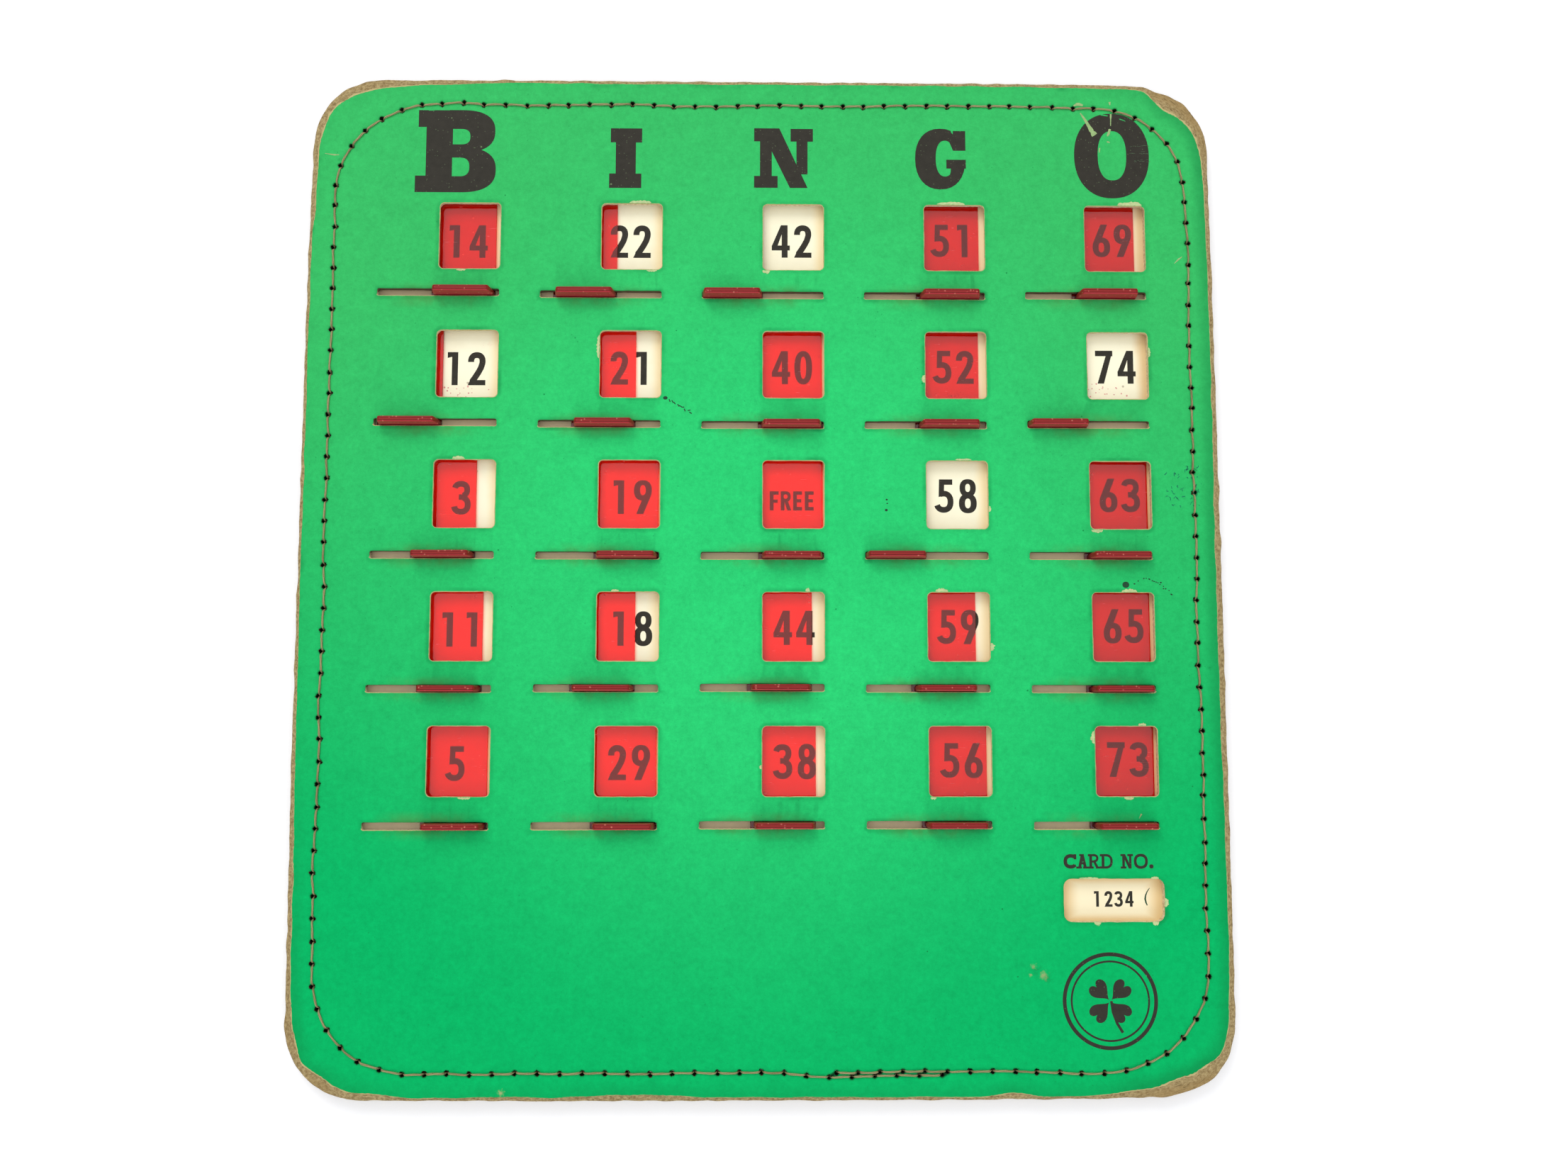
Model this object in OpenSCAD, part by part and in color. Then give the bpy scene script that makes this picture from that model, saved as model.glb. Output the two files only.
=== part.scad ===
// Shutter bingo card: a stitched stack of boards with twenty-five sliding windows.
// The card lies flat with its face up (+Z) and its head towards +Y.
// The origin is the middle of the back face.

/* [Card] */
// Width of the card
card_w = 190.5; // [188:0.5:200]
// Height of the card
card_h = 210.9; // [208:0.1:220]
// Corner radius of the boards
card_r = 16; // [10:0.5:19]
// Bare rim of board that the worn facing papers leave
facing_rim = 0.9; // [0.4:0.1:1.5]
// Distance of the number sheet's edge inside the card's edge
sheet_rim = 2; // [1:0.5:3]

/* [Layers] */
// Thickness of the coloured facing paper on the front
front_facing_t = 0.2; // [0.15:0.05:0.3]
// Thickness of the front board
front_board_t = 1.3; // [1:0.1:1.8]
// Thickness of the printed number sheet
number_sheet_t = 0.3; // [0.2:0.05:0.5]
// Thickness of the back board
back_board_t = 1.8; // [1.5:0.1:2.5]
// Thickness of the facing paper on the back
back_facing_t = 0.2; // [0.15:0.05:0.3]

/* [Windows] */
// Sideways step from one window to the next
column_pitch = 34.07; // [33:0.01:35]
// Step from one row of windows to the next
row_pitch = 27.5; // [26:0.1:29]
// Middle window, right of the card's middle
grid_x = 6.53; // [5:0.01:8]
// Middle window, above the card's middle
grid_y = 16.44; // [13:0.01:19]
// Width of a window
window_w = 13.3; // [12:0.1:14.5]
// Height of a window
window_h = 14.76; // [13:0.02:16]
// Corner radius of a window
window_r = 1.2; // [0.5:0.1:2]

/* [Slots] */
// Length of a slot
slot_w = 25.5; // [24:0.1:27]
// Middle of a slot, below the middle of its window
slot_drop = 12.93; // [12:0.01:14]
// Slot's right end, inside the window's right edge
slot_inset = 0.32; // [0:0.02:1]
// Corner radius of a slot
slot_r = 0.4; // [0.2:0.05:0.6]

/* [Shutters] */
// Width of a shutter's clear pane
pane_w = 13.4; // [12.8:0.1:14.5]
// Thickness of the pane
pane_t = 0.6; // [0.4:0.05:0.9]
// Overlap of the pane above its window and below its slot
pane_lap = 0.7; // [0.4:0.1:1.2]
// Corner radius of the pane
pane_r = 0.8; // [0.4:0.1:1.5]
// Right edge of the pane, beyond the tab's right end
pane_lead = 0.1; // [0:0.05:0.3]
// Length of the finger tab at its base
tab_w = 12.6; // [11:0.1:14]
// Length of the finger tab at its top
tab_top_w = 11.8; // [10:0.1:14]
// Thickness of the finger tab
tab_t = 1.2; // [0.9:0.05:1.5]
// Height of the finger tab above the card's face
tab_rise = 3.3; // [2:0.1:4.5]
// Corner radius of the finger tab
tab_r = 0.4; // [0.2:0.05:0.45]

/* [Clearances] */
// Gap above and below the pane in its channel
pane_gap = 0.15; // [0.08:0.01:0.25]
// Gap in front of and behind the tab in its slot
tab_gap = 0.15; // [0.08:0.01:0.25]
// Gap left between tab and slot end at each stop
end_gap = 0.05; // [0.02:0.01:0.15]
// Gap round the pane's whole travel in its channel
channel_gap = 0.3; // [0.1:0.05:0.5]

/* [Number window] */
// Middle of the card number's window, right of the card's middle
number_x = 71.5; // [69:0.1:73]
// Middle of the card number's window, below the card's middle
number_drop = 66.5; // [63:0.1:72]
// Width of the card number's window
number_w = 20.7; // [16:0.1:23]
// Height of the card number's window
number_h = 8.8; // [6:0.1:12]
// Corner radius of the card number's window
number_r = 1.8; // [1:0.1:2.5]

/* [Seam] */
// Distance of the seam inside the card's edge
seam_inset = 5.2; // [4:0.1:6]
// Corner radius of the seam
seam_r = 20; // [14:0.5:24]
// Length of one stitch, before it is fitted to the seam's length
stitch = 4.5; // [4:0.1:6]
// Stitches sewn twice where the seam ends over its start
seam_overlap = 5; // [2:1:8]
// Start of the seam on the lower edge, right of the card's middle
seam_start = 15; // [0:1:20]
// Sideways step of the second pass from the first
seam_step = 0.75; // [0.7:0.05:0.9]
// Diameter of a needle hole
needle_hole_d = 1.2; // [1:0.05:1.4]
// Diameter of the thread
thread_d = 0.46; // [0.3:0.02:0.5]
// Gap between the thread and the paper it lies on
thread_gap = 0.04; // [0.02:0.01:0.1]

/* [Hidden] */
$fn = 48;
// Overrun of a cut past the face it opens
cut = 1;
// Rows and columns of windows
rows = 5;
columns = 5;

// Corner radii of the worn front facing, as shares of the boards' radius
facing_corner_shares = [1.05, 1.45, 1.25, 1.3];

// How far each shutter stands closed, as shares of its travel, top row first
closed_shares = [
  [0.91, 0.25, 0, 0.92, 0.85],
  [0.08, 0.58, 0.97, 0.89, 0],
  [0.67, 0.97, 0.98, 0, 0.97],
  [0.82, 0.61, 0.8, 0.79, 0.96],
  [0.94, 0.97, 0.86, 0.94, 0.97]
];

// Seam: the last holes of the second pass fall this share of a stitch before the first pass's
pair_share = 0.3;
// Stitches over which the seam steps sideways to its second pass
step_stitches = 2;
// Width of the two strands in a needle hole, as a share of the hole
strand_share = 0.7;
// Part of the strands' radius that a stitch ends short of the hole's middle
strand_end_share = 0.35;
// Gap beside the thread in its groove in the back
groove_gap = 0.15;
// Height at which needle thread and bobbin thread meet, as a share of the boards' thickness
lock_share = 0.5;

// Layers, from the back
channel_t = pane_t + 2 * pane_gap;
back_board_z = back_facing_t;
number_sheet_z = back_board_z + back_board_t;
channel_z = number_sheet_z + number_sheet_t;
front_board_z = channel_z + channel_t;
front_facing_z = front_board_z + front_board_t;
face_z = front_facing_z + front_facing_t;

// Slot and shutter places, from the middle of their window
slot_h = tab_t + 2 * tab_gap;
slot_right = window_w / 2 - slot_inset;
slot_x = slot_right - slot_w / 2;
travel = slot_w - tab_w - 2 * end_gap;
tab_right_open = slot_right - end_gap - travel;
pane_top = window_h / 2 + pane_lap;
pane_bottom = -slot_drop - slot_h / 2 - pane_lap;
pane_h = pane_top - pane_bottom;
pane_y = (pane_top + pane_bottom) / 2;
pane_right_open = tab_right_open + pane_lead;
pane_z = channel_z + pane_gap;
channel_w = pane_w + travel + 2 * channel_gap;
channel_h = pane_h + 2 * channel_gap;
channel_x = pane_right_open + (travel - pane_w) / 2;

// Seam: a rounded rectangle walked from its start on the lower edge towards +X
seam_half_w = card_w / 2 - seam_inset;
seam_half_h = card_h / 2 - seam_inset;
seam_flat_w = 2 * (seam_half_w - seam_r);
seam_flat_h = 2 * (seam_half_h - seam_r);
seam_arc = seam_r * PI / 2;
seam_first = seam_half_w - seam_r - seam_start;
seam_len = 2 * (seam_flat_w + seam_flat_h) + 4 * seam_arc;
stitches_round = round(seam_len / stitch);
pitch = seam_len / (stitches_round + pair_share);
stitches = stitches_round + seam_overlap;
step_from = seam_len - step_stitches * pitch;
strand_r = needle_hole_d * strand_share / 2;
thread_r = thread_d / 2;
lock_z = face_z * lock_share;
lock_gap = thread_gap;
groove_w = thread_d + 2 * groove_gap;
groove_t = thread_d + 2 * thread_gap;

// Middle of the window in a column and row, counted from the top left
function window_at(column, row) = [
  grid_x + (column - (columns - 1) / 2) * column_pitch,
  grid_y - (row - (rows - 1) / 2) * row_pitch
];

// How far the seam stands outside its first pass, at a length s along it
function seam_out(s) = seam_step * min(1, max(0, (s - step_from) / (step_stitches * pitch)));

// Point on a corner arc of the seam: centre signs, start angle and length along the arc
function seam_corner(sx, sy, from, s, out) = let(a = from + s / seam_r * 180 / PI) [
  sx * (seam_half_w - seam_r) + (seam_r + out) * cos(a),
  sy * (seam_half_h - seam_r) + (seam_r + out) * sin(a)
];

// Point of the seam at a length s from its start, out of the path by the given step
function seam_walk(s, out) =
  let(
    a = seam_first, b = a + seam_arc, c = b + seam_flat_h, d = c + seam_arc,
    e = d + seam_flat_w, f = e + seam_arc, g = f + seam_flat_h, h = g + seam_arc
  )
  s < a ? [seam_start + s, -seam_half_h - out] :
  s < b ? seam_corner(1, -1, -90, s - a, out) :
  s < c ? [seam_half_w + out, -seam_flat_h / 2 + s - b] :
  s < d ? seam_corner(1, 1, 0, s - c, out) :
  s < e ? [seam_flat_w / 2 - (s - d), seam_half_h + out] :
  s < f ? seam_corner(-1, 1, 90, s - e, out) :
  s < g ? [-seam_half_w - out, seam_flat_h / 2 - (s - f)] :
  s < h ? seam_corner(-1, -1, 180, s - g, out) :
  [-seam_flat_w / 2 + s - h, -seam_half_h - out];

// Middle of needle hole k
function seam_hole(k) =
  let(s = k * pitch) seam_walk(s < seam_len ? s : s - seam_len, seam_out(s));

// Rectangle about the origin with round corners
module rounded(w, h, r) {
  square([w, h - 2 * r], center = true);
  square([w - 2 * r, h], center = true);
  for (sx = [-1, 1], sy = [-1, 1])
    translate([sx * (w / 2 - r), sy * (h / 2 - r)]) circle(r);
}

// Rectangle about the origin with a radius for each corner: top left, top right, then clockwise
module worn_outline(w, h, radii) {
  signs = [[-1, 1], [1, 1], [1, -1], [-1, -1]];
  difference() {
    square([w, h], center = true);
    for (k = [0:3])
      translate([signs[k][0] * (w + cut - radii[k]) / 2, signs[k][1] * (h + cut - radii[k]) / 2])
        square(radii[k] + cut, center = true);
  }
  for (k = [0:3])
    translate([signs[k][0] * (w / 2 - radii[k]), signs[k][1] * (h / 2 - radii[k])]) circle(radii[k]);
}

// Windows of all rows, with the card number's
module windows() {
  for (column = [0:columns - 1], row = [0:rows - 1])
    translate(window_at(column, row)) rounded(window_w, window_h, window_r);
  number_window();
}

module number_window() {
  translate([number_x, -number_drop]) rounded(number_w, number_h, number_r);
}

// Slots that the finger tabs stand through
module slots() {
  for (column = [0:columns - 1], row = [0:rows - 1])
    translate(window_at(column, row)) translate([slot_x, -slot_drop]) rounded(slot_w, slot_h, slot_r);
}

// Channels that the panes slide in
module channels() {
  for (column = [0:columns - 1], row = [0:rows - 1])
    translate(window_at(column, row)) translate([channel_x, pane_y])
      rounded(channel_w, channel_h, pane_r);
}

module needle_holes() {
  for (k = [0:stitches]) translate(seam_hole(k)) circle(d = needle_hole_d);
}

// Band along the seam, widened where the seam is sewn twice
module seam_band(w) {
  overlap_w = (seam_overlap + 2 * step_stitches) * pitch;
  difference() {
    rounded(2 * seam_half_w + w, 2 * seam_half_h + w, seam_r + w / 2);
    rounded(2 * seam_half_w - w, 2 * seam_half_h - w, seam_r - w / 2);
  }
  translate([seam_start - (step_stitches + 1) * pitch, -seam_half_h - seam_step - w / 2])
    square([overlap_w, seam_step + w / 2]);
}

// One pass of thread: a strand from hole to hole and a doubled strand down each hole
module sewing(run_z, end_z) {
  low = min(run_z, end_z);
  for (k = [0:stitches]) {
    p = seam_hole(k);
    translate([p[0], p[1], low]) cylinder(r = strand_r, h = abs(run_z - end_z));
  }
  for (k = [0:stitches - 1]) {
    p = seam_hole(k);
    q = seam_hole(k + 1);
    short = strand_r * strand_end_share;
    translate([p[0], p[1], run_z])
      rotate([0, 90, atan2(q[1] - p[1], q[0] - p[0])])
        translate([0, 0, short])
          cylinder(r = thread_r, h = norm(q - p) - 2 * short);
  }
}

module front_facing() {
  w = card_w - 2 * facing_rim;
  h = card_h - 2 * facing_rim;
  color("mediumseagreen") translate([0, 0, front_facing_z]) linear_extrude(front_facing_t)
    difference() {
      worn_outline(w, h, card_r * facing_corner_shares);
      windows();
      slots();
      needle_holes();
    }
}

module front_board() {
  color("tan") translate([0, 0, front_board_z]) linear_extrude(front_board_t)
    difference() {
      rounded(card_w, card_h, card_r);
      windows();
      slots();
      needle_holes();
    }
}

module channel_board() {
  color("peru") translate([0, 0, channel_z]) linear_extrude(channel_t)
    difference() {
      rounded(card_w, card_h, card_r);
      channels();
      number_window();
      needle_holes();
    }
}

module number_sheet() {
  color("cornsilk") translate([0, 0, number_sheet_z]) linear_extrude(number_sheet_t)
    difference() {
      rounded(card_w - 2 * sheet_rim, card_h - 2 * sheet_rim, card_r - sheet_rim);
      needle_holes();
    }
}

// Back board, with the pressed groove that the back facing's bead lies in
module back_board() {
  color("tan") difference() {
    translate([0, 0, back_board_z]) linear_extrude(back_board_t)
      difference() {
        rounded(card_w, card_h, card_r);
        needle_holes();
      }
    translate([0, 0, back_board_z - cut]) linear_extrude(groove_t + cut)
      seam_band(groove_w + 2 * back_facing_t);
  }
}

// Back facing, pressed in along the seam so that its thread lies under the surface
module back_facing() {
  color("mediumseagreen") difference() {
    union() {
      linear_extrude(back_facing_t)
        rounded(card_w - 2 * facing_rim, card_h - 2 * facing_rim, card_r - facing_rim);
      linear_extrude(groove_t + back_facing_t) seam_band(groove_w + 2 * back_facing_t);
    }
    translate([0, 0, -cut]) linear_extrude(groove_t + cut) seam_band(groove_w);
    translate([0, 0, -cut]) linear_extrude(groove_t + back_facing_t + 2 * cut) needle_holes();
  }
}

module needle_thread() {
  color("darkkhaki") sewing(face_z + thread_gap + thread_r, lock_z + lock_gap);
}

module bobbin_thread() {
  color("darkkhaki") sewing(thread_gap + thread_r, lock_z - lock_gap);
}

// Finger tab, standing up through the slot from the pane: drafted ends, round corners
module finger_tab() {
  body_h = face_z - pane_z;
  intersection() {
    translate([0, 0, pane_z]) linear_extrude(body_h + tab_rise) rounded(tab_w, tab_t, tab_r);
    translate([0, tab_t / 2 + cut, 0]) rotate([90, 0, 0]) linear_extrude(tab_t + 2 * cut)
      polygon([
        [-tab_w / 2 - cut, pane_z - cut], [tab_w / 2 + cut, pane_z - cut],
        [tab_w / 2 + cut, face_z - cut], [tab_w / 2, face_z],
        [tab_top_w / 2, face_z + tab_rise - tab_r], [tab_top_w / 2 - tab_r, face_z + tab_rise],
        [tab_r - tab_top_w / 2, face_z + tab_rise], [-tab_top_w / 2, face_z + tab_rise - tab_r],
        [-tab_w / 2, face_z], [-tab_w / 2 - cut, face_z - cut]
      ]);
  }
}

// One moulded shutter where it stands: a clear pane with a finger tab along its foot
module shutter(column, row) {
  at = window_at(column, row);
  tab_right = tab_right_open + closed_shares[row][column] * travel;
  color("firebrick") translate([at[0], at[1], 0]) {
    translate([tab_right + pane_lead - pane_w / 2, pane_y, pane_z])
      linear_extrude(pane_t) rounded(pane_w, pane_h, pane_r);
    translate([tab_right - tab_w / 2, -slot_drop, 0]) finger_tab();
  }
}

front_facing();
front_board();
channel_board();
number_sheet();
back_board();
back_facing();
needle_thread();
bobbin_thread();
shutter(0, 0);  // shutter_b1
shutter(0, 1);  // shutter_b2
shutter(0, 2);  // shutter_b3
shutter(0, 3);  // shutter_b4
shutter(0, 4);  // shutter_b5
shutter(1, 0);  // shutter_i1
shutter(1, 1);  // shutter_i2
shutter(1, 2);  // shutter_i3
shutter(1, 3);  // shutter_i4
shutter(1, 4);  // shutter_i5
shutter(2, 0);  // shutter_n1
shutter(2, 1);  // shutter_n2
shutter(2, 2);  // shutter_n3
shutter(2, 3);  // shutter_n4
shutter(2, 4);  // shutter_n5
shutter(3, 0);  // shutter_g1
shutter(3, 1);  // shutter_g2
shutter(3, 2);  // shutter_g3
shutter(3, 3);  // shutter_g4
shutter(3, 4);  // shutter_g5
shutter(4, 0);  // shutter_o1
shutter(4, 1);  // shutter_o2
shutter(4, 2);  // shutter_o3
shutter(4, 3);  // shutter_o4
shutter(4, 4);  // shutter_o5
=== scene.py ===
"""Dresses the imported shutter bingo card: worn boards, facing paper, print, seam, shutters and stage."""
import math
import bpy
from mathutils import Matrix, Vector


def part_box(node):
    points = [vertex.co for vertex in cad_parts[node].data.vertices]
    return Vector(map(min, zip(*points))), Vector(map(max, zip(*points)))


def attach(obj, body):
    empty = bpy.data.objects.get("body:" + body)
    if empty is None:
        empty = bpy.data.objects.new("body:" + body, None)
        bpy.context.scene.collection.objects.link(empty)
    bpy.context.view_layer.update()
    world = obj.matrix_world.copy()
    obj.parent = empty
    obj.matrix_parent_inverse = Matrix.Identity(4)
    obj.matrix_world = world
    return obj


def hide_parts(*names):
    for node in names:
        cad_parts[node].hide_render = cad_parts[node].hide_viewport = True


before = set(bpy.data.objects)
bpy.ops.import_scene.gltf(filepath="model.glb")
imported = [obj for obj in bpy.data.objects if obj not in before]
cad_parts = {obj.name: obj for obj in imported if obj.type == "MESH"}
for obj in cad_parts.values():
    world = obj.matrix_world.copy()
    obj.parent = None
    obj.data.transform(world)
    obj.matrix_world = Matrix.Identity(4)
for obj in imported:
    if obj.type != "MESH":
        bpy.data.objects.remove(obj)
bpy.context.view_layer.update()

from types import SimpleNamespace

import bmesh
import bpy
import numpy as np
from bpy.props import FloatProperty, FloatVectorProperty, PointerProperty
from bpy.types import Operator, Panel, PropertyGroup
from mathutils import Matrix
from mathutils.geometry import delaunay_2d_cdt

bl_info = {
    "name": "Shutter bingo card",
    "version": (1, 0, 0),
    "blender": (4, 5, 0),
    "location": "3D View > Sidebar > Card",
    "description": "Builds the boards, facing paper, print, seam and shutters of a bingo card round its packed frame",
    "category": "Object",
}

MM = 0.001
TAU = 2 * math.pi
COLUMNS = "bingo"
ROWS = 5
SHUTTERS = [f"shutter_{letter}{row + 1}" for letter in COLUMNS for row in range(ROWS)]


def level(node):
    """Lowest and highest z of a frame node, in millimetres."""
    low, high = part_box(node)
    return low.z / MM, high.z / MM


def linear(red, green, blue):
    """Linear colour of a screen colour given from 0 to 255."""
    c = np.array([red, green, blue]) / 255
    return tuple(float(v) for v in np.where(c < 0.04045, c / 12.92, ((c + 0.055) / 1.055) ** 2.4))


# Sizes and colours that a user would change ---------------------------------------------


def length(label, text, value):
    """A length property, its default given in millimetres."""
    return FloatProperty(name=label, description=text, default=value * MM, unit="LENGTH", subtype="DISTANCE",
                         precision=5)


def colour(label, text, value):
    """A colour property, its default given as a screen colour from 0 to 255."""
    return FloatVectorProperty(name=label, description=text, default=linear(*value), subtype="COLOR", size=3,
                               min=0, max=1)


class CardSizes(PropertyGroup):
    """Sizes of the card, as the frame was cut."""
    half_w: length("Half width", "Half the card's width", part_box("front_board")[1].x / MM)
    half_h: length("Half height", "Half the card's height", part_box("front_board")[1].y / MM)
    corner_r: length("Corner radius", "Radius of the card's corners", 16)
    column_pitch: length("Column pitch", "Distance between columns of windows", 34.07)
    row_pitch: length("Row pitch", "Distance between rows of windows", 27.5)
    grid_x: length("Grid x", "Middle window's place across the card", 6.53)
    grid_y: length("Grid y", "Middle window's place along the card", 16.44)
    window_w: length("Window width", "Width of a window", 13.3)
    window_h: length("Window height", "Height of a window", 14.76)
    window_r: length("Window radius", "Corner radius of a window", 1.2)
    slot_w: length("Slot length", "Length of a slot", 25.5)
    slot_h: length("Slot width", "Width of a slot", 1.5)
    slot_x: length("Slot shift", "Slot's middle, from its window's middle", -6.42)
    slot_y: length("Slot drop", "Slot's middle below its window's middle", -12.93)
    slot_r: length("Slot radius", "Corner radius of a slot", 0.4)
    channel_w: length("Channel width", "Width of the cut-out that a pane slides in", 26.8)
    channel_h: length("Channel height", "Height of that cut-out", 23.06)
    channel_x: length("Channel shift", "Cut-out's middle, from its window's middle", -6.72)
    channel_y: length("Channel drop", "Cut-out's middle, from its window's middle", -3.15)
    label_x: length("Label x", "Card number window's place across the card", 71.5)
    label_y: length("Label y", "Card number window's place along the card", -66.5)
    label_w: length("Label width", "Width of the card number window", 20.7)
    label_h: length("Label height", "Height of the card number window", 8.8)
    label_r: length("Label radius", "Corner radius of the card number window", 1.8)
    pane_w: length("Pane width", "Width of a shutter's pane", 13.4)
    pane_h: length("Pane height", "Height of a shutter's pane", 22.46)
    pane_t: length("Pane thickness", "Thickness of a shutter's pane", 0.6)
    pane_r: length("Pane radius", "Corner radius of a shutter's pane", 0.8)
    tab_w: length("Tab width", "Width of a finger tab at the card's face", 12.6)
    tab_top_w: length("Tab top width", "Width of a finger tab at its top", 11.8)
    tab_t: length("Tab thickness", "Thickness of a finger tab", 1.2)
    tab_r: length("Tab radius", "Corner radius of a finger tab", 0.4)
    tab_x: length("Tab place", "Tab's middle, from the pane's left edge", 7.0)
    tab_y: length("Tab height", "Tab's middle, from the pane's lower edge", 1.45)
    seam_inset: length("Seam inset", "Distance of the seam from the card's edge", 5.2)
    seam_r: length("Seam radius", "Radius of the seam's corners", 20)
    seam_start: length("Seam start", "Where the seam starts on the lower side", 15)
    seam_step: length("Seam step", "How far outwards the last stitches lie", 0.75)
    thread_r: length("Thread radius", "Radius of the sewing thread", 0.2)
    rim_drop: length("Rim drop", "How far the worn rim of a board rounds down", 0.62)


class CardColours(PropertyGroup):
    """Colours of the card's finishes."""
    green: colour("Green", "Facing paper", (44, 206, 116))
    # The deep green also serves as painted shade along the facing's rim and round the needle holes
    green_deep: colour("Deep green", "Facing paper where it is scuffed or soiled", (16, 120, 62))
    paper_core: colour("Paper core", "Torn edge of the facing paper", (196, 184, 130))
    board: colour("Board", "Chipboard", (190, 170, 124))
    board_dark: colour("Dark board", "Chipboard in its cracks", (128, 106, 68))
    # The cut board colour is kept pale as painted light on the walls of the deep cuts
    cut_board: colour("Cut board", "Chipboard in the windows and slots", (252, 240, 212))
    cream: colour("Cream", "Number sheet", (255, 251, 223))
    cream_dark: colour("Dark cream", "Soiled number sheet", (205, 178, 132))
    ink: colour("Ink", "Printed letters and numbers", (40, 38, 33))
    thread: colour("Thread", "Sewing thread", (166, 155, 114))
    # The dark thread colour also serves as painted shade between the plies
    thread_dark: colour("Dark thread", "Sewing thread between its plies", (98, 92, 60))
    pane: colour("Pane", "Clear shutter pane", (247, 60, 20))
    tab: colour("Tab", "Finger tab", (146, 32, 30))


def millimetres(context):
    """Every size of the card in millimetres, by name."""
    sizes = context.scene.card_sizes
    return SimpleNamespace(**{name: getattr(sizes, name) / MM for name in CardSizes.__annotations__})


def card_line(m):
    """Half width, half height and corner radius of the card."""
    return m.half_w, m.half_h, m.corner_r


def seam_line(m):
    """The same of the seam."""
    return m.half_w - m.seam_inset, m.half_h - m.seam_inset, m.seam_r


def paint(context, name):
    """A finish's colour with its alpha."""
    return (*getattr(context.scene.card_colours, name), 1.0)


# Curves and noise, as whole arrays -------------------------------------------------------


def spans(half_w, half_h, radius):
    """Arc lengths at which the sides and corners of a rounded rectangle start, and its whole length."""
    flats = np.array([half_w, half_h, half_w, half_h]) - radius
    parts = np.stack([2 * flats, np.full(4, radius * TAU / 4)], 1).ravel()
    return np.concatenate([[0], np.cumsum(parts)])


def walk(s, half_w, half_h, radius):
    """Points and outward normals at arc lengths s of a rounded rectangle, counter-clockwise from the left end
    of its lower side. On a side: corner centre + radius * normal + u * direction. On a corner: centre +
    radius * (cos a, sin a)."""
    starts = spans(half_w, half_h, radius)
    s = np.mod(s, starts[-1])
    part = np.clip(np.searchsorted(starts, s, side="right") - 1, 0, 7)
    turn, bend, u = part // 2, part % 2, s - starts[part]
    corners = np.array([[1, -1], [1, 1], [-1, 1], [-1, -1]]) * [half_w - radius, half_h - radius]
    centre = np.where(bend[:, None] == 1, corners[turn], corners[turn - 1])
    angle = (turn - 1) * TAU / 4 + bend * u / radius
    normal = np.stack([np.cos(angle), np.sin(angle)], 1)
    ahead = np.stack([-normal[:, 1], normal[:, 0]], 1)
    return centre + radius * normal + ahead * (u * (1 - bend))[:, None], normal


def track(points, half_w, half_h, radius):
    """The reverse of walk: arc length and depth inwards of points beside a rounded rectangle. Depth is
    radius - distance from the core, or the distance to the nearest side inside the core."""
    x, y = points[:, 0], points[:, 1]
    flat_w, flat_h = half_w - radius, half_h - radius
    cx, cy = np.clip(x, -flat_w, flat_w), np.clip(y, -flat_h, flat_h)
    dx, dy = x - cx, y - cy
    core = (dx == 0) & (dy == 0)
    upright = half_w - np.abs(x) < half_h - np.abs(y)
    depth = np.where(core, np.minimum(half_w - np.abs(x), half_h - np.abs(y)), radius - np.hypot(dx, dy))
    dx = np.where(core & upright, np.copysign(1.0, x), dx)
    dy = np.where(core & ~upright, np.copysign(1.0, y), dy)
    starts, angle = spans(half_w, half_h, radius), np.arctan2(dy, dx)
    quarter = TAU / 4
    s = np.select(
        [(dx == 0) & (dy < 0), (dy == 0) & (dx > 0), (dx == 0) & (dy > 0), (dy == 0) & (dx < 0),
         (dx > 0) & (dy < 0), (dx > 0) & (dy > 0), (dx < 0) & (dy > 0), (dx < 0) & (dy < 0)],
        [cx + flat_w, starts[2] + cy + flat_h, starts[4] + flat_w - cx, starts[6] + flat_h - cy,
         starts[1] + radius * (angle + quarter), starts[3] + radius * angle,
         starts[5] + radius * (angle - quarter), starts[7] + radius * (angle + 2 * quarter)])
    return s, depth


def ripple(s, whole, low, high, count, seed):
    """A closed wander of about plus or minus one: the sum of cos(k s + phase) over count random whole
    numbers of waves from low to high."""
    draw = np.random.default_rng(seed)
    waves = draw.integers(low, high, count)
    phase = draw.uniform(0, TAU, count)
    return np.cos(np.multiply.outer(s, waves * TAU / whole) + phase).sum(-1) / math.sqrt(count / 2)


def mottle(x, y, cell_x, cell_y, seed, around=256):
    """Smooth noise from -1 to 1: random values on a lattice, blended with 3 t^2 - 2 t^3. It repeats after
    around cells along x."""
    table = np.random.default_rng(seed).uniform(-1, 1, (around, 256))
    u, v = x / cell_x, y / cell_y
    i, j = np.floor(u).astype(int), np.floor(v).astype(int)
    a, b = u - i, v - j
    a, b = a * a * (3 - 2 * a), b * b * (3 - 2 * b)
    i0, i1, j0, j1 = i % around, (i + 1) % around, j % 256, (j + 1) % 256
    return ((table[i0, j0] * (1 - a) + table[i1, j0] * a) * (1 - b)
            + (table[i0, j1] * (1 - a) + table[i1, j1] * a) * b)


def ring(centre, width, height, radius, step, bend=5):
    """Points and outward normals round a rounded rectangle: about step apart on its sides, and bend of them
    on each corner."""
    starts = spans(width / 2, height / 2, radius)
    counts = [n for side in np.diff(starts)[::2] for n in (max(1, round(side / step)), bend)]
    s = np.concatenate([np.linspace(a, b, n, endpoint=False) for a, b, n in zip(starts, starts[1:], counts)])
    points, normals = walk(s, width / 2, height / 2, radius)
    return points + centre, normals


def windows(m):
    """Middles of the windows, row by row from the top."""
    column, row = np.meshgrid(np.arange(ROWS) - 2, 2 - np.arange(ROWS))
    return np.stack([m.grid_x + column.ravel() * m.column_pitch, m.grid_y + row.ravel() * m.row_pitch], 1)


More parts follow.
